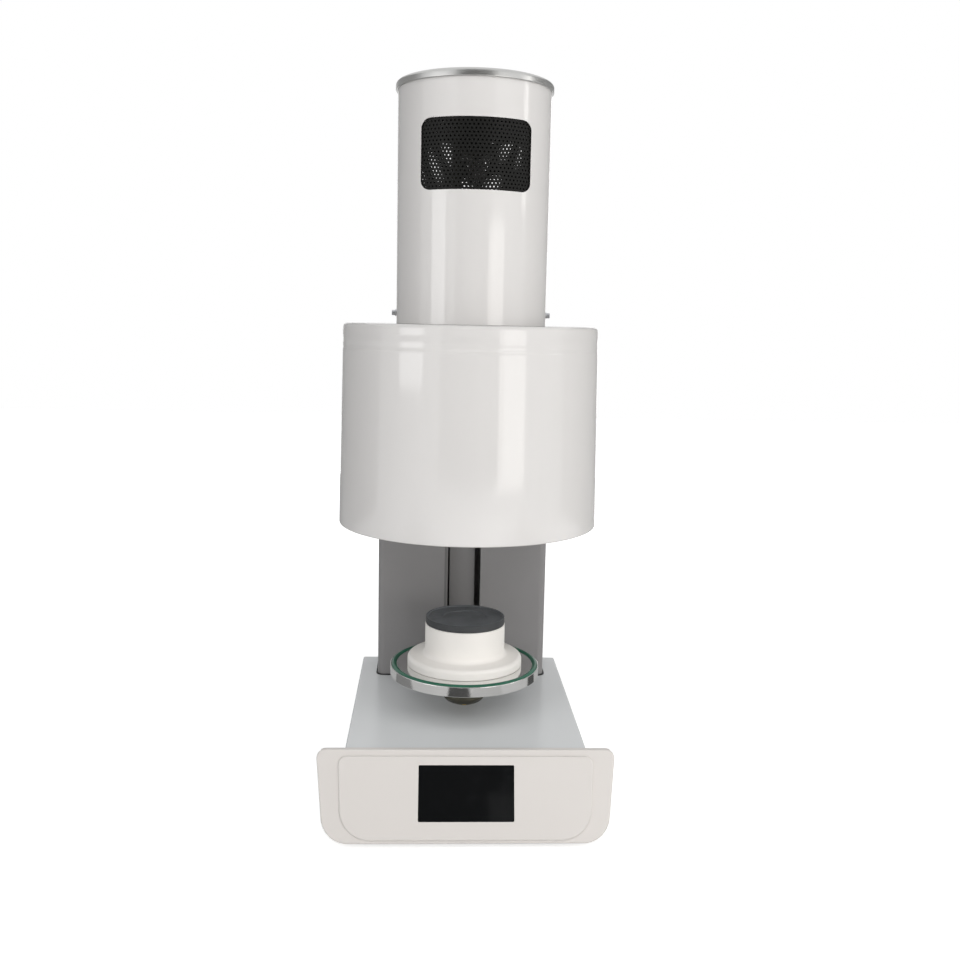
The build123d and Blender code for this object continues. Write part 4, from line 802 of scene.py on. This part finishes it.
class FURNACE_OT_muffle(bpy.types.Operator):
    """Adds the round muffle housing with its pressed crease and rear notch"""

    bl_idname = "furnace.add_muffle"
    bl_label = "Muffle housing"

    # Waves above the crease: (height above it in mm, depth as a share of the crease depth)
    waves = [(1.0, 0.35), (2.6, 0.95), (6.0, 0.5), (11.0, 1.25), (18.0, 0.45)]
    last_depth = 1.5
    wave_steps = 5

    def execute(self, context):
        sizes = context.scene.furnace_sizes
        at = Extent("muffle_housing")
        wall, opening = 2 * MM, 60 * MM
        taper = 3.7 / 207.8  # What the radius loses per height
        crease = sizes.crease_height
        at_crease = at.radius - (crease - at.bottom) * taper
        band = self.band(at_crease, crease, (at.top - crease) / MM, sizes.crease_depth)
        neck = band[-1][0]
        points = [
            (opening, at.top),
            (neck, at.top),
            *reversed(band[:-3]),
            (at_crease - sizes.crease_depth * self.waves[0][1], crease + 0.5 * MM),
            (at_crease, crease - 0.5 * MM),
            (at.radius, at.bottom),
            (at.radius - wall, at.bottom),
            (at_crease - wall, crease - 0.9 * MM),
            (neck - wall, at.top - wall),
            (opening, at.top - wall),
        ]
        lower = len(points) - 5
        fillets = [(1, sizes.muffle_fillet, 14), (lower, 1.2 * MM, 5), (lower + 1, 0.5 * MM, 2)]
        shell = turned("muffle_shell", points, fillets, sizes.steps, closed=True)
        half, front, top = 101.5 * MM, LIFT_Y + 120.5 * MM, 431.5 * MM
        notch = block("notch", (-half, front, at.bottom - 0.02), (half, LIFT_Y + 0.15, top))
        settle(smooth(cut(shell, notch)), "muffle_housing")
        return {"FINISHED"}

    def band(self, at_crease, crease, top, depth):
        """(radius, height) points that run through the waves up to the top."""
        points = []
        waves = [*self.waves, (top, self.last_depth)]
        for (rise, inset), (next_rise, next_inset) in zip(waves, waves[1:]):
            for step in range(self.wave_steps):
                share = step / self.wave_steps
                blend = (1 - cos(pi * share)) / 2
                radius = at_crease - depth * (inset + (next_inset - inset) * blend)
                points.append((radius, crease + (rise + (next_rise - rise) * share) * MM))
        return points


class FURNACE_OT_tower(bpy.types.Operator):
    """Adds the tower tube with its two windows"""

    bl_idname = "furnace.add_tower"
    bl_label = "Tower tube"

    def execute(self, context):
        sizes = context.scene.furnace_sizes
        at = Extent("tower_tube")
        inner = at.radius - sizes.tower_wall
        points = [(at.radius, at.bottom), (at.radius, at.top), (inner, at.top), (inner, at.bottom)]
        tube = turned("tower_skin", points, [(0, 0.4 * MM, 2)], sizes.steps, closed=True)
        half, low, high = 53.1 * MM, 640.6 * MM, 707.6 * MM
        window = block("window", (-half, LIFT_Y - 0.2, low), (half, LIFT_Y + 0.2, high))
        round_edges(window, lambda e: abs(e.verts[0].co.y - e.verts[1].co.y) > 0.1, sizes.window_corner, 10)
        cut(tube, window)

        def at_window(edge):
            """True for a sharp edge of a window."""
            near = all(low - 0.01 < v.co.z < high + 0.01 for v in edge.verts)
            return near and len(edge.link_faces) == 2 and edge.calc_face_angle() > radians(50)

        round_edges(tube, at_window, 0.35 * MM, 2)
        settle(smooth(tube), "tower_tube")
        return {"FINISHED"}


class FURNACE_OT_cap(bpy.types.Operator):
    """Adds the tower cap with its rolled edge"""

    bl_idname = "furnace.add_cap"
    bl_label = "Tower cap"

    def execute(self, context):
        sizes = context.scene.furnace_sizes
        at, tube = Extent("tower_cap"), Extent("tower_tube")
        inner = tube.radius + 0.1 * MM
        inside = tube.top + 0.05 * MM
        points = [
            (0, at.top),
            (at.radius, at.top),
            (at.radius, at.bottom),
            (inner, at.bottom),
            (inner, inside),
            (0, inside),
        ]
        fillets = [(1, sizes.cap_round, 10), (2, 0.8 * MM, 4), (3, 0.3 * MM, 2)]
        settle(smooth(turned("tower_lid", points, fillets, sizes.steps)), "tower_cap")
        return {"FINISHED"}


class FURNACE_OT_table(bpy.types.Operator):
    """Adds the polished lift table and its rubber seal"""

    bl_idname = "furnace.add_table"
    bl_label = "Lift table"

    def execute(self, context):
        sizes = context.scene.furnace_sizes
        at, ring = Extent("table_plate"), Extent("table_seal")
        boss = 10 * MM
        underside = at.top - 10.7 * MM
        groove_floor = at.top - 4.2 * MM
        middle = 76.9 * MM
        section = (ring.top - groove_floor) / 2
        groove = section + 0.1 * MM
        points = [
            (0, at.bottom),
            (boss, at.bottom),
            (boss, underside),
            (at.radius, underside),
            (at.radius, at.top),
            (middle + groove, at.top),
            (middle + groove, groove_floor),
            (middle - groove, groove_floor),
            (middle - groove, at.top),
            (0, at.top),
        ]
        fillets = [
            (1, 0.5 * MM, 2),
            (2, 1 * MM, 4),
            (3, 0.6 * MM, 3),
            (4, 0.6 * MM, 3),
            (5, 0.15 * MM, 2),
            (8, 0.15 * MM, 2),
        ]
        settle(smooth(turned("table_disc", points, fillets, sizes.steps)), "table_plate")
        level = ring.top - section
        angles = [2 * pi * i / 20 for i in range(20)]
        bead = [(middle + section * cos(angle), level + section * sin(angle)) for angle in angles]
        settle(smooth(turned("table_ring", bead, (), sizes.steps, closed=True), 60), "table_seal")
        return {"FINISHED"}


class FURNACE_OT_pedestal(bpy.types.Operator):
    """Adds the ceramic pedestal and the firing tray on it"""

    bl_idname = "furnace.add_pedestal"
    bl_label = "Pedestal and tray"

    def execute(self, context):
        at = Extent("pedestal")
        step = at.bottom + 11.6 * MM
        radius = 43.2 * MM
        points = [
            (0, at.bottom),
            (at.radius, at.bottom),
            (at.radius, step - 1.2 * MM),
            (radius, step + 0.6 * MM),
            (radius, at.top),
            (0, at.top),
        ]
        fillets = [(1, 0.8 * MM, 3), (2, 4.5 * MM, 8), (3, 4.5 * MM, 8), (4, 0.8 * MM, 4)]
        settle(smooth(turned("pedestal_block", points, fillets, 144)), "pedestal")

        at = Extent("firing_tray")
        rim = at.radius - 2.2 * MM
        deep = at.top - 1.6 * MM
        dip, dip_floor = 24 * MM, deep - 0.8 * MM
        points = [
            (0, at.bottom),
            (at.radius, at.bottom),
            (at.radius, at.top),
            (rim, at.top),
            (rim, deep),
            (dip, deep),
            (dip, dip_floor),
            (0, dip_floor),
        ]
        fillets = [
            (1, 0.7 * MM, 3),
            (2, 0.7 * MM, 4),
            (3, 0.5 * MM, 3),
            (4, 0.8 * MM, 4),
            (5, 0.4 * MM, 3),
            (6, 0.5 * MM, 3),
        ]
        settle(smooth(turned("tray_disc", points, fillets, 144)), "firing_tray")
        return {"FINISHED"}


class FURNACE_OT_grilles(bpy.types.Operator):
    """Adds the perforated sheets behind the tower windows"""

    bl_idname = "furnace.add_grilles"
    bl_label = "Window grilles"

    def execute(self, context):
        at = Extent("window_grilles")
        radius = (at.back - at.front) / 2
        half = radius * asin(at.radius / radius)
        sheet = self.flat_sheet(half, (at.top - at.bottom) / 2)
        sheet.rotation_euler.x = pi / 2
        bpy.ops.object.transform_apply()
        front = sheet.data.polygons[0].normal.y < 0
        apply_modifier(sheet, "SOLIDIFY", thickness=1 * MM, offset=-1 if front else 1)
        bend = {"deform_method": "BEND", "deform_axis": "Z", "angle": 2 * half / radius}
        apply_modifier(sheet, "SIMPLE_DEFORM", **bend)
        edit(sheet)
        take_all()
        bpy.ops.transform.translate(value=(0, LIFT_Y - radius, at.centre.z))
        leave()
        bpy.ops.object.shade_smooth_by_angle(angle=radians(30))
        rear = copied(sheet, "grille_rear")
        edit(rear)
        take_all()
        bpy.ops.transform.rotate(value=pi, orient_axis="Z", center_override=(0, LIFT_Y, 0))
        leave()
        settle(sheet, "window_grilles")
        settle(rear, "window_grilles")
        return {"FINISHED"}

    def flat_sheet(self, half, half_height):
        """A flat perforated sheet, with staggered rows of round holes."""
        sizes = bpy.context.scene.furnace_sizes
        pitch, row = sizes.hole_pitch, sizes.hole_row
        sheet = self.cell(pitch, row, sizes.hole_size)
        columns = int(2 * half / pitch) + 3
        pairs = int(half_height / row) + 2
        self.repeat(sheet, columns, (pitch, 0, 0))
        edit(sheet)
        take_all()
        bpy.ops.mesh.duplicate_move(TRANSFORM_OT_translate={"value": (pitch / 2, row, 0)})
        leave()
        self.repeat(sheet, pairs, (0, 2 * row, 0))
        edit(sheet)
        take_all()
        bpy.ops.mesh.remove_doubles(threshold=1e-5)
        shift = (-(columns - 0.5) * pitch / 2, -(2 * pairs - 1) * row / 2, 0)
        bpy.ops.transform.translate(value=shift)
        for reach, side in ((half, (1, 0, 0)), (half_height, (0, 1, 0))):
            for outward in (Vector(side), -Vector(side)):
                take_all()
                bpy.ops.mesh.bisect(plane_co=outward * reach, plane_no=outward, clear_outer=True)
        face_out()
        leave()
        return sheet

    def cell(self, pitch, row, hole):
        """One field of the sheet, with a round hole in its middle."""
        pick_nothing()
        bpy.ops.mesh.primitive_plane_add(size=1, location=(0, 0, 0))
        sheet = bpy.context.active_object
        sheet.name = "grille_front"
        sheet.scale = (pitch, row, 1)
        bpy.ops.object.transform_apply()
        edit(sheet, "EDGE")
        take_all()
        bpy.ops.mesh.delete(type="ONLY_FACE")
        take_all()
        bpy.ops.mesh.subdivide(number_cuts=3)
        bpy.ops.mesh.extrude_edges_move(TRANSFORM_OT_translate={"value": (0, 0, 0)})
        bpy.ops.transform.tosphere(value=1.0, center_override=(0, 0, 0))
        ring = next(v.co.length for v in bmesh.from_edit_mesh(sheet.data).verts if v.select)
        shrink = hole / 2 / ring
        bpy.ops.transform.resize(value=(shrink, shrink, 1), center_override=(0, 0, 0))
        leave()
        return sheet

    def repeat(self, sheet, count, step):
        offset = {"use_relative_offset": False, "use_constant_offset": True}
        apply_modifier(sheet, "ARRAY", count=count, constant_offset_displace=step, **offset)


class FURNACE_OT_hub(bpy.types.Operator):
    """Adds the conical hub under the table and its three brass screws"""

    bl_idname = "furnace.add_hub"
    bl_label = "Table hub"

    def execute(self, context):
        at = Extent("table_hub")
        nose, flare = 11 * MM, 20 * MM
        flare_rise, rim_rise = 4.2 * MM, 9.5 * MM
        points = [
            (0, at.bottom),
            (nose, at.bottom),
            (flare, at.bottom + flare_rise),
            (at.radius, at.bottom + rim_rise),
            (at.radius, at.top),
            (0, at.top),
        ]
        fillets = [(1, 9 * MM, 5), (2, 9 * MM, 5), (3, 2 * MM, 3), (4, 0.4 * MM, 2)]
        hub = turned("hub_cone", points, fillets)
        seat, head = at.bottom + 4.9 * MM, 3.3 * MM
        spots = [(middle.x, middle.y) for middle in middles("hub_screws")]
        for spot in spots:
            cut(hub, prism("seat", 40, head + 0.25 * MM, at.bottom - MM, seat, spot))
        settle(smooth(hub), "table_hub")
        screw = bolt(
            "hub_screw_set",
            head_radius=head,
            head_height=1.9 * MM,
            socket=1.5 * MM,
            shank_radius=2 * MM,
            shank_length=Extent("hub_screws").top - seat,
        )
        settle(repeated(screw, [((*spot, seat), (0, 0, -1)) for spot in spots]), "hub_screws")
        return {"FINISHED"}


class FURNACE_OT_screws(bpy.types.Operator):
    """Adds the tower screws and the cover screws"""

    bl_idname = "furnace.add_screws"
    bl_label = "Outside screws"

    def execute(self, context):
        level = Extent("tower_screws").centre.z
        reach = Extent("tower_tube").radius
        hole, rim, thick = 2.1, 3.5, 1
        section = mm((hole, 0), (rim, 0), (rim, thick), (hole, thick))
        fillets = [(1, 0.2 * MM, 2), (2, 0.3 * MM, 3)]
        washer = turned("tower_washer", section, fillets, 32, closed=True, centre=(0, 0, 0))
        screw = bolt(
            "tower_screw",
            head_radius=2.75 * MM,
            head_height=3.5 * MM,
            socket=1.3 * MM,
            shank_radius=2 * MM,
            shank_length=5.2 * MM,
            dome=0.5 * MM,
        )
        screw = join([washer, stand(screw, (0, 0, 1.05 * MM), UP)], "tower_screw_set")
        stands = [((side * reach, LIFT_Y, level), (side, 0, 0)) for side in (-1, 1)]
        settle(repeated(screw, stands), "tower_screws")

        head = 2.2 * MM
        back = LIFT_Y + 180 * MM
        stands = []
        for low, high in solids("cover_screws"):
            middle = (low + high) / 2
            if middle.y > back:
                stands.append(((middle.x, high.y - head, middle.z), (0, 1, 0)))
            elif middle.x > 0:
                stands.append(((high.x - head, middle.y, middle.z), (1, 0, 0)))
            else:
                stands.append(((low.x + head, middle.y, middle.z), (-1, 0, 0)))
        settle(repeated(self.cover_screw(head), stands), "cover_screws")
        return {"FINISHED"}

    def cover_screw(self, head):
        """A domed cross-head screw that stands on its shank, with its seat at the origin."""
        shank, rim, length = 1.8 * MM, 3.6 * MM, 3.8 * MM
        points = [(0, -length), (shank, -length), (shank, 0), (rim, 0), (rim, head), (0, head)]
        fillets = [(3, 0.2 * MM, 2), (4, 1.5 * MM, 6)]
        screw = turned("cover_screw_set", points, fillets, 32, centre=(0, 0, 0))
        for turn_by in (0, pi / 2):
            slot = block("slot", *mm((-2.1, -0.45, 1), (2.1, 0.45, 3)))
            slot.rotation_euler.z = turn_by
            pick(slot)
            bpy.ops.object.transform_apply()
            cut(screw, slot)
        return smooth(screw)


class FURNACE_OT_drive_screws(bpy.types.Operator):
    """Adds the threaded spindles of the lift and of the press"""

    bl_idname = "furnace.add_drive_screws"
    bl_label = "Lift and press spindles"

    def execute(self, context):
        at = Extent("lead_screw")
        spot = (at.centre.x, at.centre.y)
        journal = 4 * MM
        low, high = span_at("lead_screw", spot, 5.5 * MM, 6.5 * MM)
        points = [(0, at.bottom), (journal, at.bottom), (journal, at.top), (0, at.top)]
        fillets = [(1, 0.6 * MM, 2), (2, 0.6 * MM, 2)]
        ends = smooth(turned("spindle_ends", points, fillets, 40, centre=(*spot, 0)))
        spindle = threaded("lift_spindle", radius=6 * MM, pitch=4 * MM, low=low, high=high, spot=spot)
        settle(join([spindle, ends], "lift_spindle"), "lead_screw")

        at = Extent("press_screw")
        spot = (4 * MM, LIFT_Y + 22 * MM)
        bore = 2.55 * MM
        low = span_at("press_screw", spot, 5 * MM, 20 * MM)[0]
        points = [(bore, low), (at.radius, low), (at.radius, at.top), (bore, at.top)]
        fillets = [(1, 0.6 * MM, 3), (2, 0.6 * MM, 3)]
        coupling = smooth(turned("press_coupling", points, fillets, 48, closed=True, centre=(*spot, 0)))
        spindle = threaded(
            "press_spindle", radius=4 * MM, pitch=2 * MM, low=at.bottom, high=low + MM, spot=spot
        )
        settle(join([spindle, coupling], "press_spindle"), "press_screw")
        return {"FINISHED"}


class FURNACE_OT_heater(bpy.types.Operator):
    """Adds the heating coil and its two leads"""

    bl_idname = "furnace.add_heater"
    bl_label = "Heating coil"

    def execute(self, context):
        top = Extent("heating_coil").top
        wire, radius, turns = 1.3 * MM, 53.3 * MM, 8.5
        low, high = 359 * MM, 421 * MM
        pick_nothing()
        bpy.ops.mesh.primitive_circle_add(vertices=10, radius=wire, location=(radius, 0, low))
        winding = context.active_object
        winding.name = "heater_coil"
        winding.rotation_euler.x = pi / 2
        bpy.ops.object.transform_apply()
        coil(winding, 2 * pi * turns, high - low, 400)
        edit(winding, "EDGE")
        bpy.ops.mesh.select_non_manifold()
        bpy.ops.mesh.edge_face_add()
        face_out()
        bpy.ops.transform.rotate(value=pi / 2, orient_axis="Z", center_override=(0, 0, 0))
        bpy.ops.transform.translate(value=(0, LIFT_Y, 0))
        leave()
        rod = 1.6 * MM
        points = [(0, low), (rod, low), (rod, top), (0, top)]
        lead = smooth(turned("lead", points, [(1, 0.8 * MM, 3), (2, 0.5 * MM, 3)], 20, centre=(0, 0, 0)))
        leads = repeated(lead, [((0, LIFT_Y + side * radius, 0), UP) for side in (-1, 1)])
        settle(join([smooth(winding, 50), leads], "heater_coil"), "heating_coil")
        return {"FINISHED"}


class FURNACE_OT_port(bpy.types.Operator):
    """Adds the hose barb for the vacuum hose, with its nuts"""

    bl_idname = "furnace.add_port"
    bl_label = "Vacuum port"

    def execute(self, context):
        at = Extent("vacuum_port")
        wall = Extent("base_cover").back
        tip = (at.back - wall) / MM
        bore, root, crest, length = 1.9, 4.5, 4.95, 14
        thread = []
        for start in range(-length, 0):
            thread += [(root, start + 0.1), (crest, start + 0.45), (crest, start + 0.65)]
        neck, barb, barb_foot = 3.2, 4.05, 3.25
        barbs = [(neck, 0), (neck, 6.4)]
        for start in (6.6, 10.4, 14.2):
            barbs += [(barb, start), (barb, start + 0.5), (barb_foot, start + 3.6)]
        points = mm((bore, -length), *thread, *barbs[:-1], (bore + 1, tip), (bore, tip))
        stem = smooth(turned("stem", points, (), 40, closed=True, centre=(0, 0, 0)))
        thick = 4 * MM
        nut = prism("nut", 6, 7.5 * MM, 0, thick)
        round_edges(nut, lambda e: climb(e) < 1e-6, 0.5 * MM, 3)
        cut(nut, prism("bore", 24, 3.1 * MM, -MM, thick + MM))
        nuts = repeated(smooth(nut), [((0, 0, seat), UP) for seat in (0, -5.5 * MM)])
        port = stand(join([stem, nuts], "hose_barb"), (at.centre.x, wall, at.centre.z), (0, 1, 0))
        settle(port, "vacuum_port")
        return {"FINISHED"}


class FURNACE_OT_feet(bpy.types.Operator):
    """Adds the four rubber feet"""

    bl_idname = "furnace.add_feet"
    bl_label = "Rubber feet"

    def execute(self, context):
        rise, top = Extent("base_pan").bottom, Extent("base_feet").top
        recess, bore, plug = 3 * MM, 3.5 * MM, 2 * MM
        tread, collar = 10 * MM, 12 * MM
        points = [
            (0, recess),
            (bore, recess),
            (bore, 0),
            (tread, 0),
            (collar, rise),
            (plug, rise),
            (plug, top),
            (0, top),
        ]
        fillets = [(2, 0.5 * MM, 3), (3, 1.6 * MM, 6), (4, 0.8 * MM, 4), (6, 0.4 * MM, 2)]
        foot = smooth(turned("foot_set", points, fillets, 64, centre=(0, 0, 0)))
        stands = [((middle.x, middle.y, 0), UP) for middle in middles("base_feet")]
        settle(repeated(foot, stands), "base_feet")
        return {"FINISHED"}


class FURNACE_OT_bezel_backs(bpy.types.Operator):
    """Closes the bezel's wings from behind with two thin plates"""

    bl_idname = "furnace.add_bezel_backs"
    bl_label = "Bezel backs"

    def execute(self, context):
        sizes = context.scene.furnace_sizes
        bezel, cover = Extent("front_bezel"), Extent("base_cover")
        wall = sizes.bezel_wall + 0.2 * MM
        inner = cover.right + 0.3 * MM
        low, high = bezel.bottom + wall, bezel.bottom + 72 * MM
        lean = (bezel.right - sizes.bezel_low_half) / (bezel.top - bezel.bottom)
        widths = [sizes.bezel_low_half - wall + (level - bezel.bottom) * lean for level in (low, high)]
        points = [(inner, low), (widths[0], low), (widths[1], high), (inner, high)]
        plate = outline("bezel_back", points, closed=True)
        fillet(plate, points[1], 24 * MM, 8)
        take_all()
        bpy.ops.mesh.edge_face_add()
        bpy.ops.mesh.extrude_region_move(TRANSFORM_OT_translate={"value": (0, 1.6 * MM, 0)})
        face_out()
        bpy.ops.transform.translate(value=(0, cover.front - 2.2 * MM, 0))
        leave()
        apply_modifier(plate, "BEVEL", width=0.3 * MM, segments=2, limit_method="ANGLE")
        other = copied(plate, "bezel_back_left")
        edit(other)
        take_all()
        bpy.ops.transform.mirror(constraint_axis=(True, False, False), center_override=(0, 0, 0))
        face_out()
        leave()
        fit(smooth(join([plate, other], "bezel_backs")), "front_bezel")
        return {"FINISHED"}


class FURNACE_OT_slot_shade_lip(bpy.types.Operator):
    """Adds a lip along the left side of the column's slot, in a darker grey that is painted shade"""

    bl_idname = "furnace.add_slot_lip"
    bl_label = "Slot lip"

    def execute(self, context):
        front = Extent("column_shell").front
        left, right = -23.5 * MM, -17.4 * MM
        low, high = (left, front + 1.52 * MM, 98 * MM), (right, front + 4.2 * MM, 302 * MM)
        lip = block("slot_lip", low, high)

        def at_slot(edge):
            """True for an upright edge on the side of the slot."""
            return climb(edge) > 0.1 and edge.verts[0].co.x > (left + right) / 2

        round_edges(lip, at_slot, 1.2 * MM, 4)
        # The lip takes the darker copy of the grey paint, as painted shade in the slot
        fit(smooth(lip), "column_shell", look="grey_paint_shaded")
        return {"FINISHED"}


class FURNACE_OT_paint(bpy.types.Operator):
    """Gives the parts that keep the frame's own shape their finishes"""

    bl_idname = "furnace.paint_parts"
    bl_label = "Paint other parts"

    def execute(self, context):
        for name, part in frame["nodes"].items():
            paint(part, SLOTS[name])
        return {"FINISHED"}


# Soft lights: name, degrees round the lift axis from the front, distance, height, (width, height)
# of the light itself, radiance, tint, whether reflections see it, the height that it is aimed at
LIGHTS = [
    ("softbox_left", -53, 2.3, 0.67, (0.9, 0.58), 2.8, (1.0, 1.0, 1.0), True, 0.4),
    ("softbox_right", 33, 2.3, 0.45, (1.05, 0.74), 2.9, (1.0, 0.97, 0.93), True, 0.4),
    ("softbox_inner", 14, 2.35, 0.44, (0.62, 0.7), 1.9, (1.0, 0.98, 0.95), True, 0.4),
    ("softbox_high", 78, 2.3, 1.1, (0.3, 0.5), 3.2, (1.0, 0.98, 0.95), True, 0.4),
    ("fill_front", 6, 2.2, 0.9, (1.4, 0.9), 1.2, (1.0, 0.99, 0.97), False, -0.2),
    ("fill_desk", 2, 1.65, 1.85, (2.8, 1.4), 2.0, (1.0, 0.99, 0.98), False, -0.6),
    ("rear_left", -142, 2.3, 0.9, (0.9, 1.0), 2.6, (1.0, 1.0, 1.0), True, 0.4),
    ("rear_right", 150, 2.3, 0.7, (1.0, 1.0), 2.4, (1.0, 0.99, 0.97), True, 0.4),
    ("fill_right", 84, 2.0, 0.5, (1.1, 1.1), 1.7, (1.0, 0.99, 0.97), False, 0.4),
]

# Cards for reflections, as the flags in a studio: name, shade, place, (width, height), degrees of
# tilt and of turn
CARDS = [
    ("card_room", 0.03, (0, -2.2, 0.75), (2.2, 1.3), 90, 0),
    ("card_above", 0.9, (0, -2.2, 2.3), (2.2, 1.8), 90, 0),
    ("card_window", 0.32, (0.24, -2.15, 0.48), (0.2, 0.2), 90, 0),
    ("card_left", 0.46, (-1.5, 0.95, 0.9), (2.8, 1.8), 90, 58),
    ("card_right", 0.56, (1.5, 0.95, 0.9), (2.8, 1.8), 90, -58),
    ("card_low_left", 0.46, (-0.75, 1.3, 0.003), (1.1, 1.9), 0, 14),
    ("card_low_right", 0.56, (0.75, 1.3, 0.003), (1.1, 1.9), 0, -14),
    ("card_bench", 0.75, (0, LIFT_Y, 0.001), (3.2, 3.2), 0, 0),
    ("card_mat", 0.1, (-0.1, -0.64, 0.002), (0.24, 0.85), 0, -12),
    ("card_side", 0.64, (0.3, -0.55, 0.002), (0.34, 0.7), 0, 30),
    ("card_edge", 0.12, (0.5, 0.2, 0.002), (0.5, 0.16), 0, 26),
    ("card_far", 0.35, (-0.55, 0.1, 0.002), (0.6, 0.3), 0, -20),
]


class FURNACE_OT_stage(bpy.types.Operator):
    """Sets up the camera, the pale floor, the softboxes and the surroundings"""

    bl_idname = "furnace.add_stage"
    bl_label = "Stage"

    def execute(self, context):
        self.camera(context.scene)
        self.floor()
        for light in LIGHTS:
            self.softbox(*light)
        for card in CARDS:
            self.card(*card)
        self.surroundings(context.scene)
        return {"FINISHED"}

    def camera(self, scene):
        """A camera in front that looks a little down."""
        pick_nothing()
        bpy.ops.object.camera_add(location=(-0.0400, -1.1399, 0.5176))
        camera = bpy.context.active_object
        camera.name = "camera"
        pan, rise, roll = radians(-2.75), radians(90 - 8.68), radians(1.19)
        turn_to = Matrix.Rotation(pan, 4, "Z") @ Matrix.Rotation(rise, 4, "X")
        camera.rotation_euler = (turn_to @ Matrix.Rotation(roll, 4, "Z")).to_euler()
        camera.data.lens = 39.285
        camera.data.sensor_width = 36
        camera.data.sensor_fit = "HORIZONTAL"
        scene.camera = camera
        scene.view_settings.view_transform = "Standard"

    def floor(self):
        """A pale floor that glows for the camera and in reflections, more so further out."""
        near, far, near_glow, far_glow = 0.45, 1.5, 0.6, 0.82
        pick_nothing()
        bpy.ops.mesh.primitive_plane_add(size=9, location=(0, 0, 0))
        floor = bpy.context.active_object
        floor.name = "floor"
        coat = Coat((0.88, 0.88, 0.88), 0.7, Specular_IOR_Level=0.1)
        distance = coat.polar((0, 0, 0))[0]
        glow = coat.ray("Camera").at_least(coat.ray("Glossy"))
        glow = glow * coat.between(distance, near, far, near_glow, far_glow)
        emission = coat.node("ShaderNodeEmission", {"Color": (1, 1, 1, 1), "Strength": glow})
        both = coat.node("ShaderNodeAddShader", {0: coat.shader.outputs[0], 1: emission.outputs[0]})
        coat.feed(coat.tree.nodes["Material Output"].inputs["Surface"], both.outputs[0])
        coat.put_on(floor, "floor_finish")

    def softbox(self, name, azimuth, distance, height, size, radiance, tint, mirrored, aim):
        """A soft light that is turned towards the lift's axis."""
        pick_nothing()
        turn = radians(azimuth)
        at = Vector((sin(turn) * distance, LIFT_Y - cos(turn) * distance, height))
        bpy.ops.object.light_add(type="AREA", location=at)
        light = bpy.context.active_object
        light.name = name
        light.data.shape = "RECTANGLE"
        light.data.size, light.data.size_y = size
        light.data.energy = radiance * pi * size[0] * size[1]
        light.data.color = tint
        light.visible_glossy = mirrored
        beam = Vector((0, LIFT_Y, aim)) - at
        light.rotation_euler = beam.to_track_quat("-Z", "Y").to_euler()

    def card(self, name, shade, place, size, tilt, turn):
        """A grey or black card that only reflections see."""
        pick_nothing()
        facing = (radians(tilt), 0, radians(turn))
        bpy.ops.mesh.primitive_plane_add(size=1, location=place, rotation=facing)
        card = bpy.context.active_object
        card.name = name
        card.scale = (*size, 1)
        card.visible_camera = card.visible_diffuse = card.visible_shadow = False
        Coat((shade, shade, shade), 1.0, Specular_IOR_Level=0.0).put_on(card, name + "_finish")

    def surroundings(self, scene):
        """White for the camera, through glass and in reflections, and a dim even light."""
        world = scene.world or bpy.data.worlds.new("surroundings")
        scene.world = world
        world.use_nodes = True
        world.node_tree.nodes.clear()
        nodes = Nodes(world.node_tree)
        seen = nodes.ray("Camera").at_least(nodes.ray("Transmission")).at_least(nodes.ray("Glossy"))
        sky = scene.furnace_colours.sky
        dim = nodes.node("ShaderNodeBackground", {"Color": (0.98, 0.99, 1.0, 1), "Strength": sky})
        plain = nodes.node("ShaderNodeBackground", {"Color": (1, 1, 1, 1), "Strength": 1.0})
        mix = nodes.node("ShaderNodeMixShader", {0: seen, 1: dim.outputs[0], 2: plain.outputs[0]})
        nodes.node("ShaderNodeOutputWorld", {"Surface": mix.outputs[0]})


OPERATORS = [
    FURNACE_OT_paint,
    FURNACE_OT_muffle,
    FURNACE_OT_tower,
    FURNACE_OT_cap,
    FURNACE_OT_table,
    FURNACE_OT_pedestal,
    FURNACE_OT_grilles,
    FURNACE_OT_hub,
    FURNACE_OT_screws,
    FURNACE_OT_drive_screws,
    FURNACE_OT_heater,
    FURNACE_OT_port,
    FURNACE_OT_feet,
    FURNACE_OT_bezel_backs,
    FURNACE_OT_slot_shade_lip,
    FURNACE_OT_stage,
]


class FURNACE_PT_pieces(bpy.types.Panel):
    """Lists the furnace's pieces, sizes and colours"""

    bl_idname = "FURNACE_PT_pieces"
    bl_label = "Dental lab furnace"
    bl_space_type = "VIEW_3D"
    bl_region_type = "UI"
    bl_category = "Furnace"

    def draw(self, context):
        for operator in OPERATORS:
            self.layout.operator(operator.bl_idname)
        for group in (context.scene.furnace_sizes, context.scene.furnace_colours):
            column = self.layout.column(align=True)
            for name in group.__annotations__:
                column.prop(group, name)


CLASSES = [FurnaceSizes, FurnaceColours, *OPERATORS, FURNACE_PT_pieces]


def register():
    for item in CLASSES:
        bpy.utils.register_class(item)
    bpy.types.Scene.furnace_sizes = PointerProperty(type=FurnaceSizes)
    bpy.types.Scene.furnace_colours = PointerProperty(type=FurnaceColours)


def unregister():
    del bpy.types.Scene.furnace_colours
    del bpy.types.Scene.furnace_sizes
    for item in reversed(CLASSES):
        bpy.utils.unregister_class(item)


def main():
    register()
    for operator in OPERATORS:
        group, name = operator.bl_idname.split(".")
        getattr(getattr(bpy.ops, group), name)()
    pick_nothing()


if __name__ == "__main__":
    main()
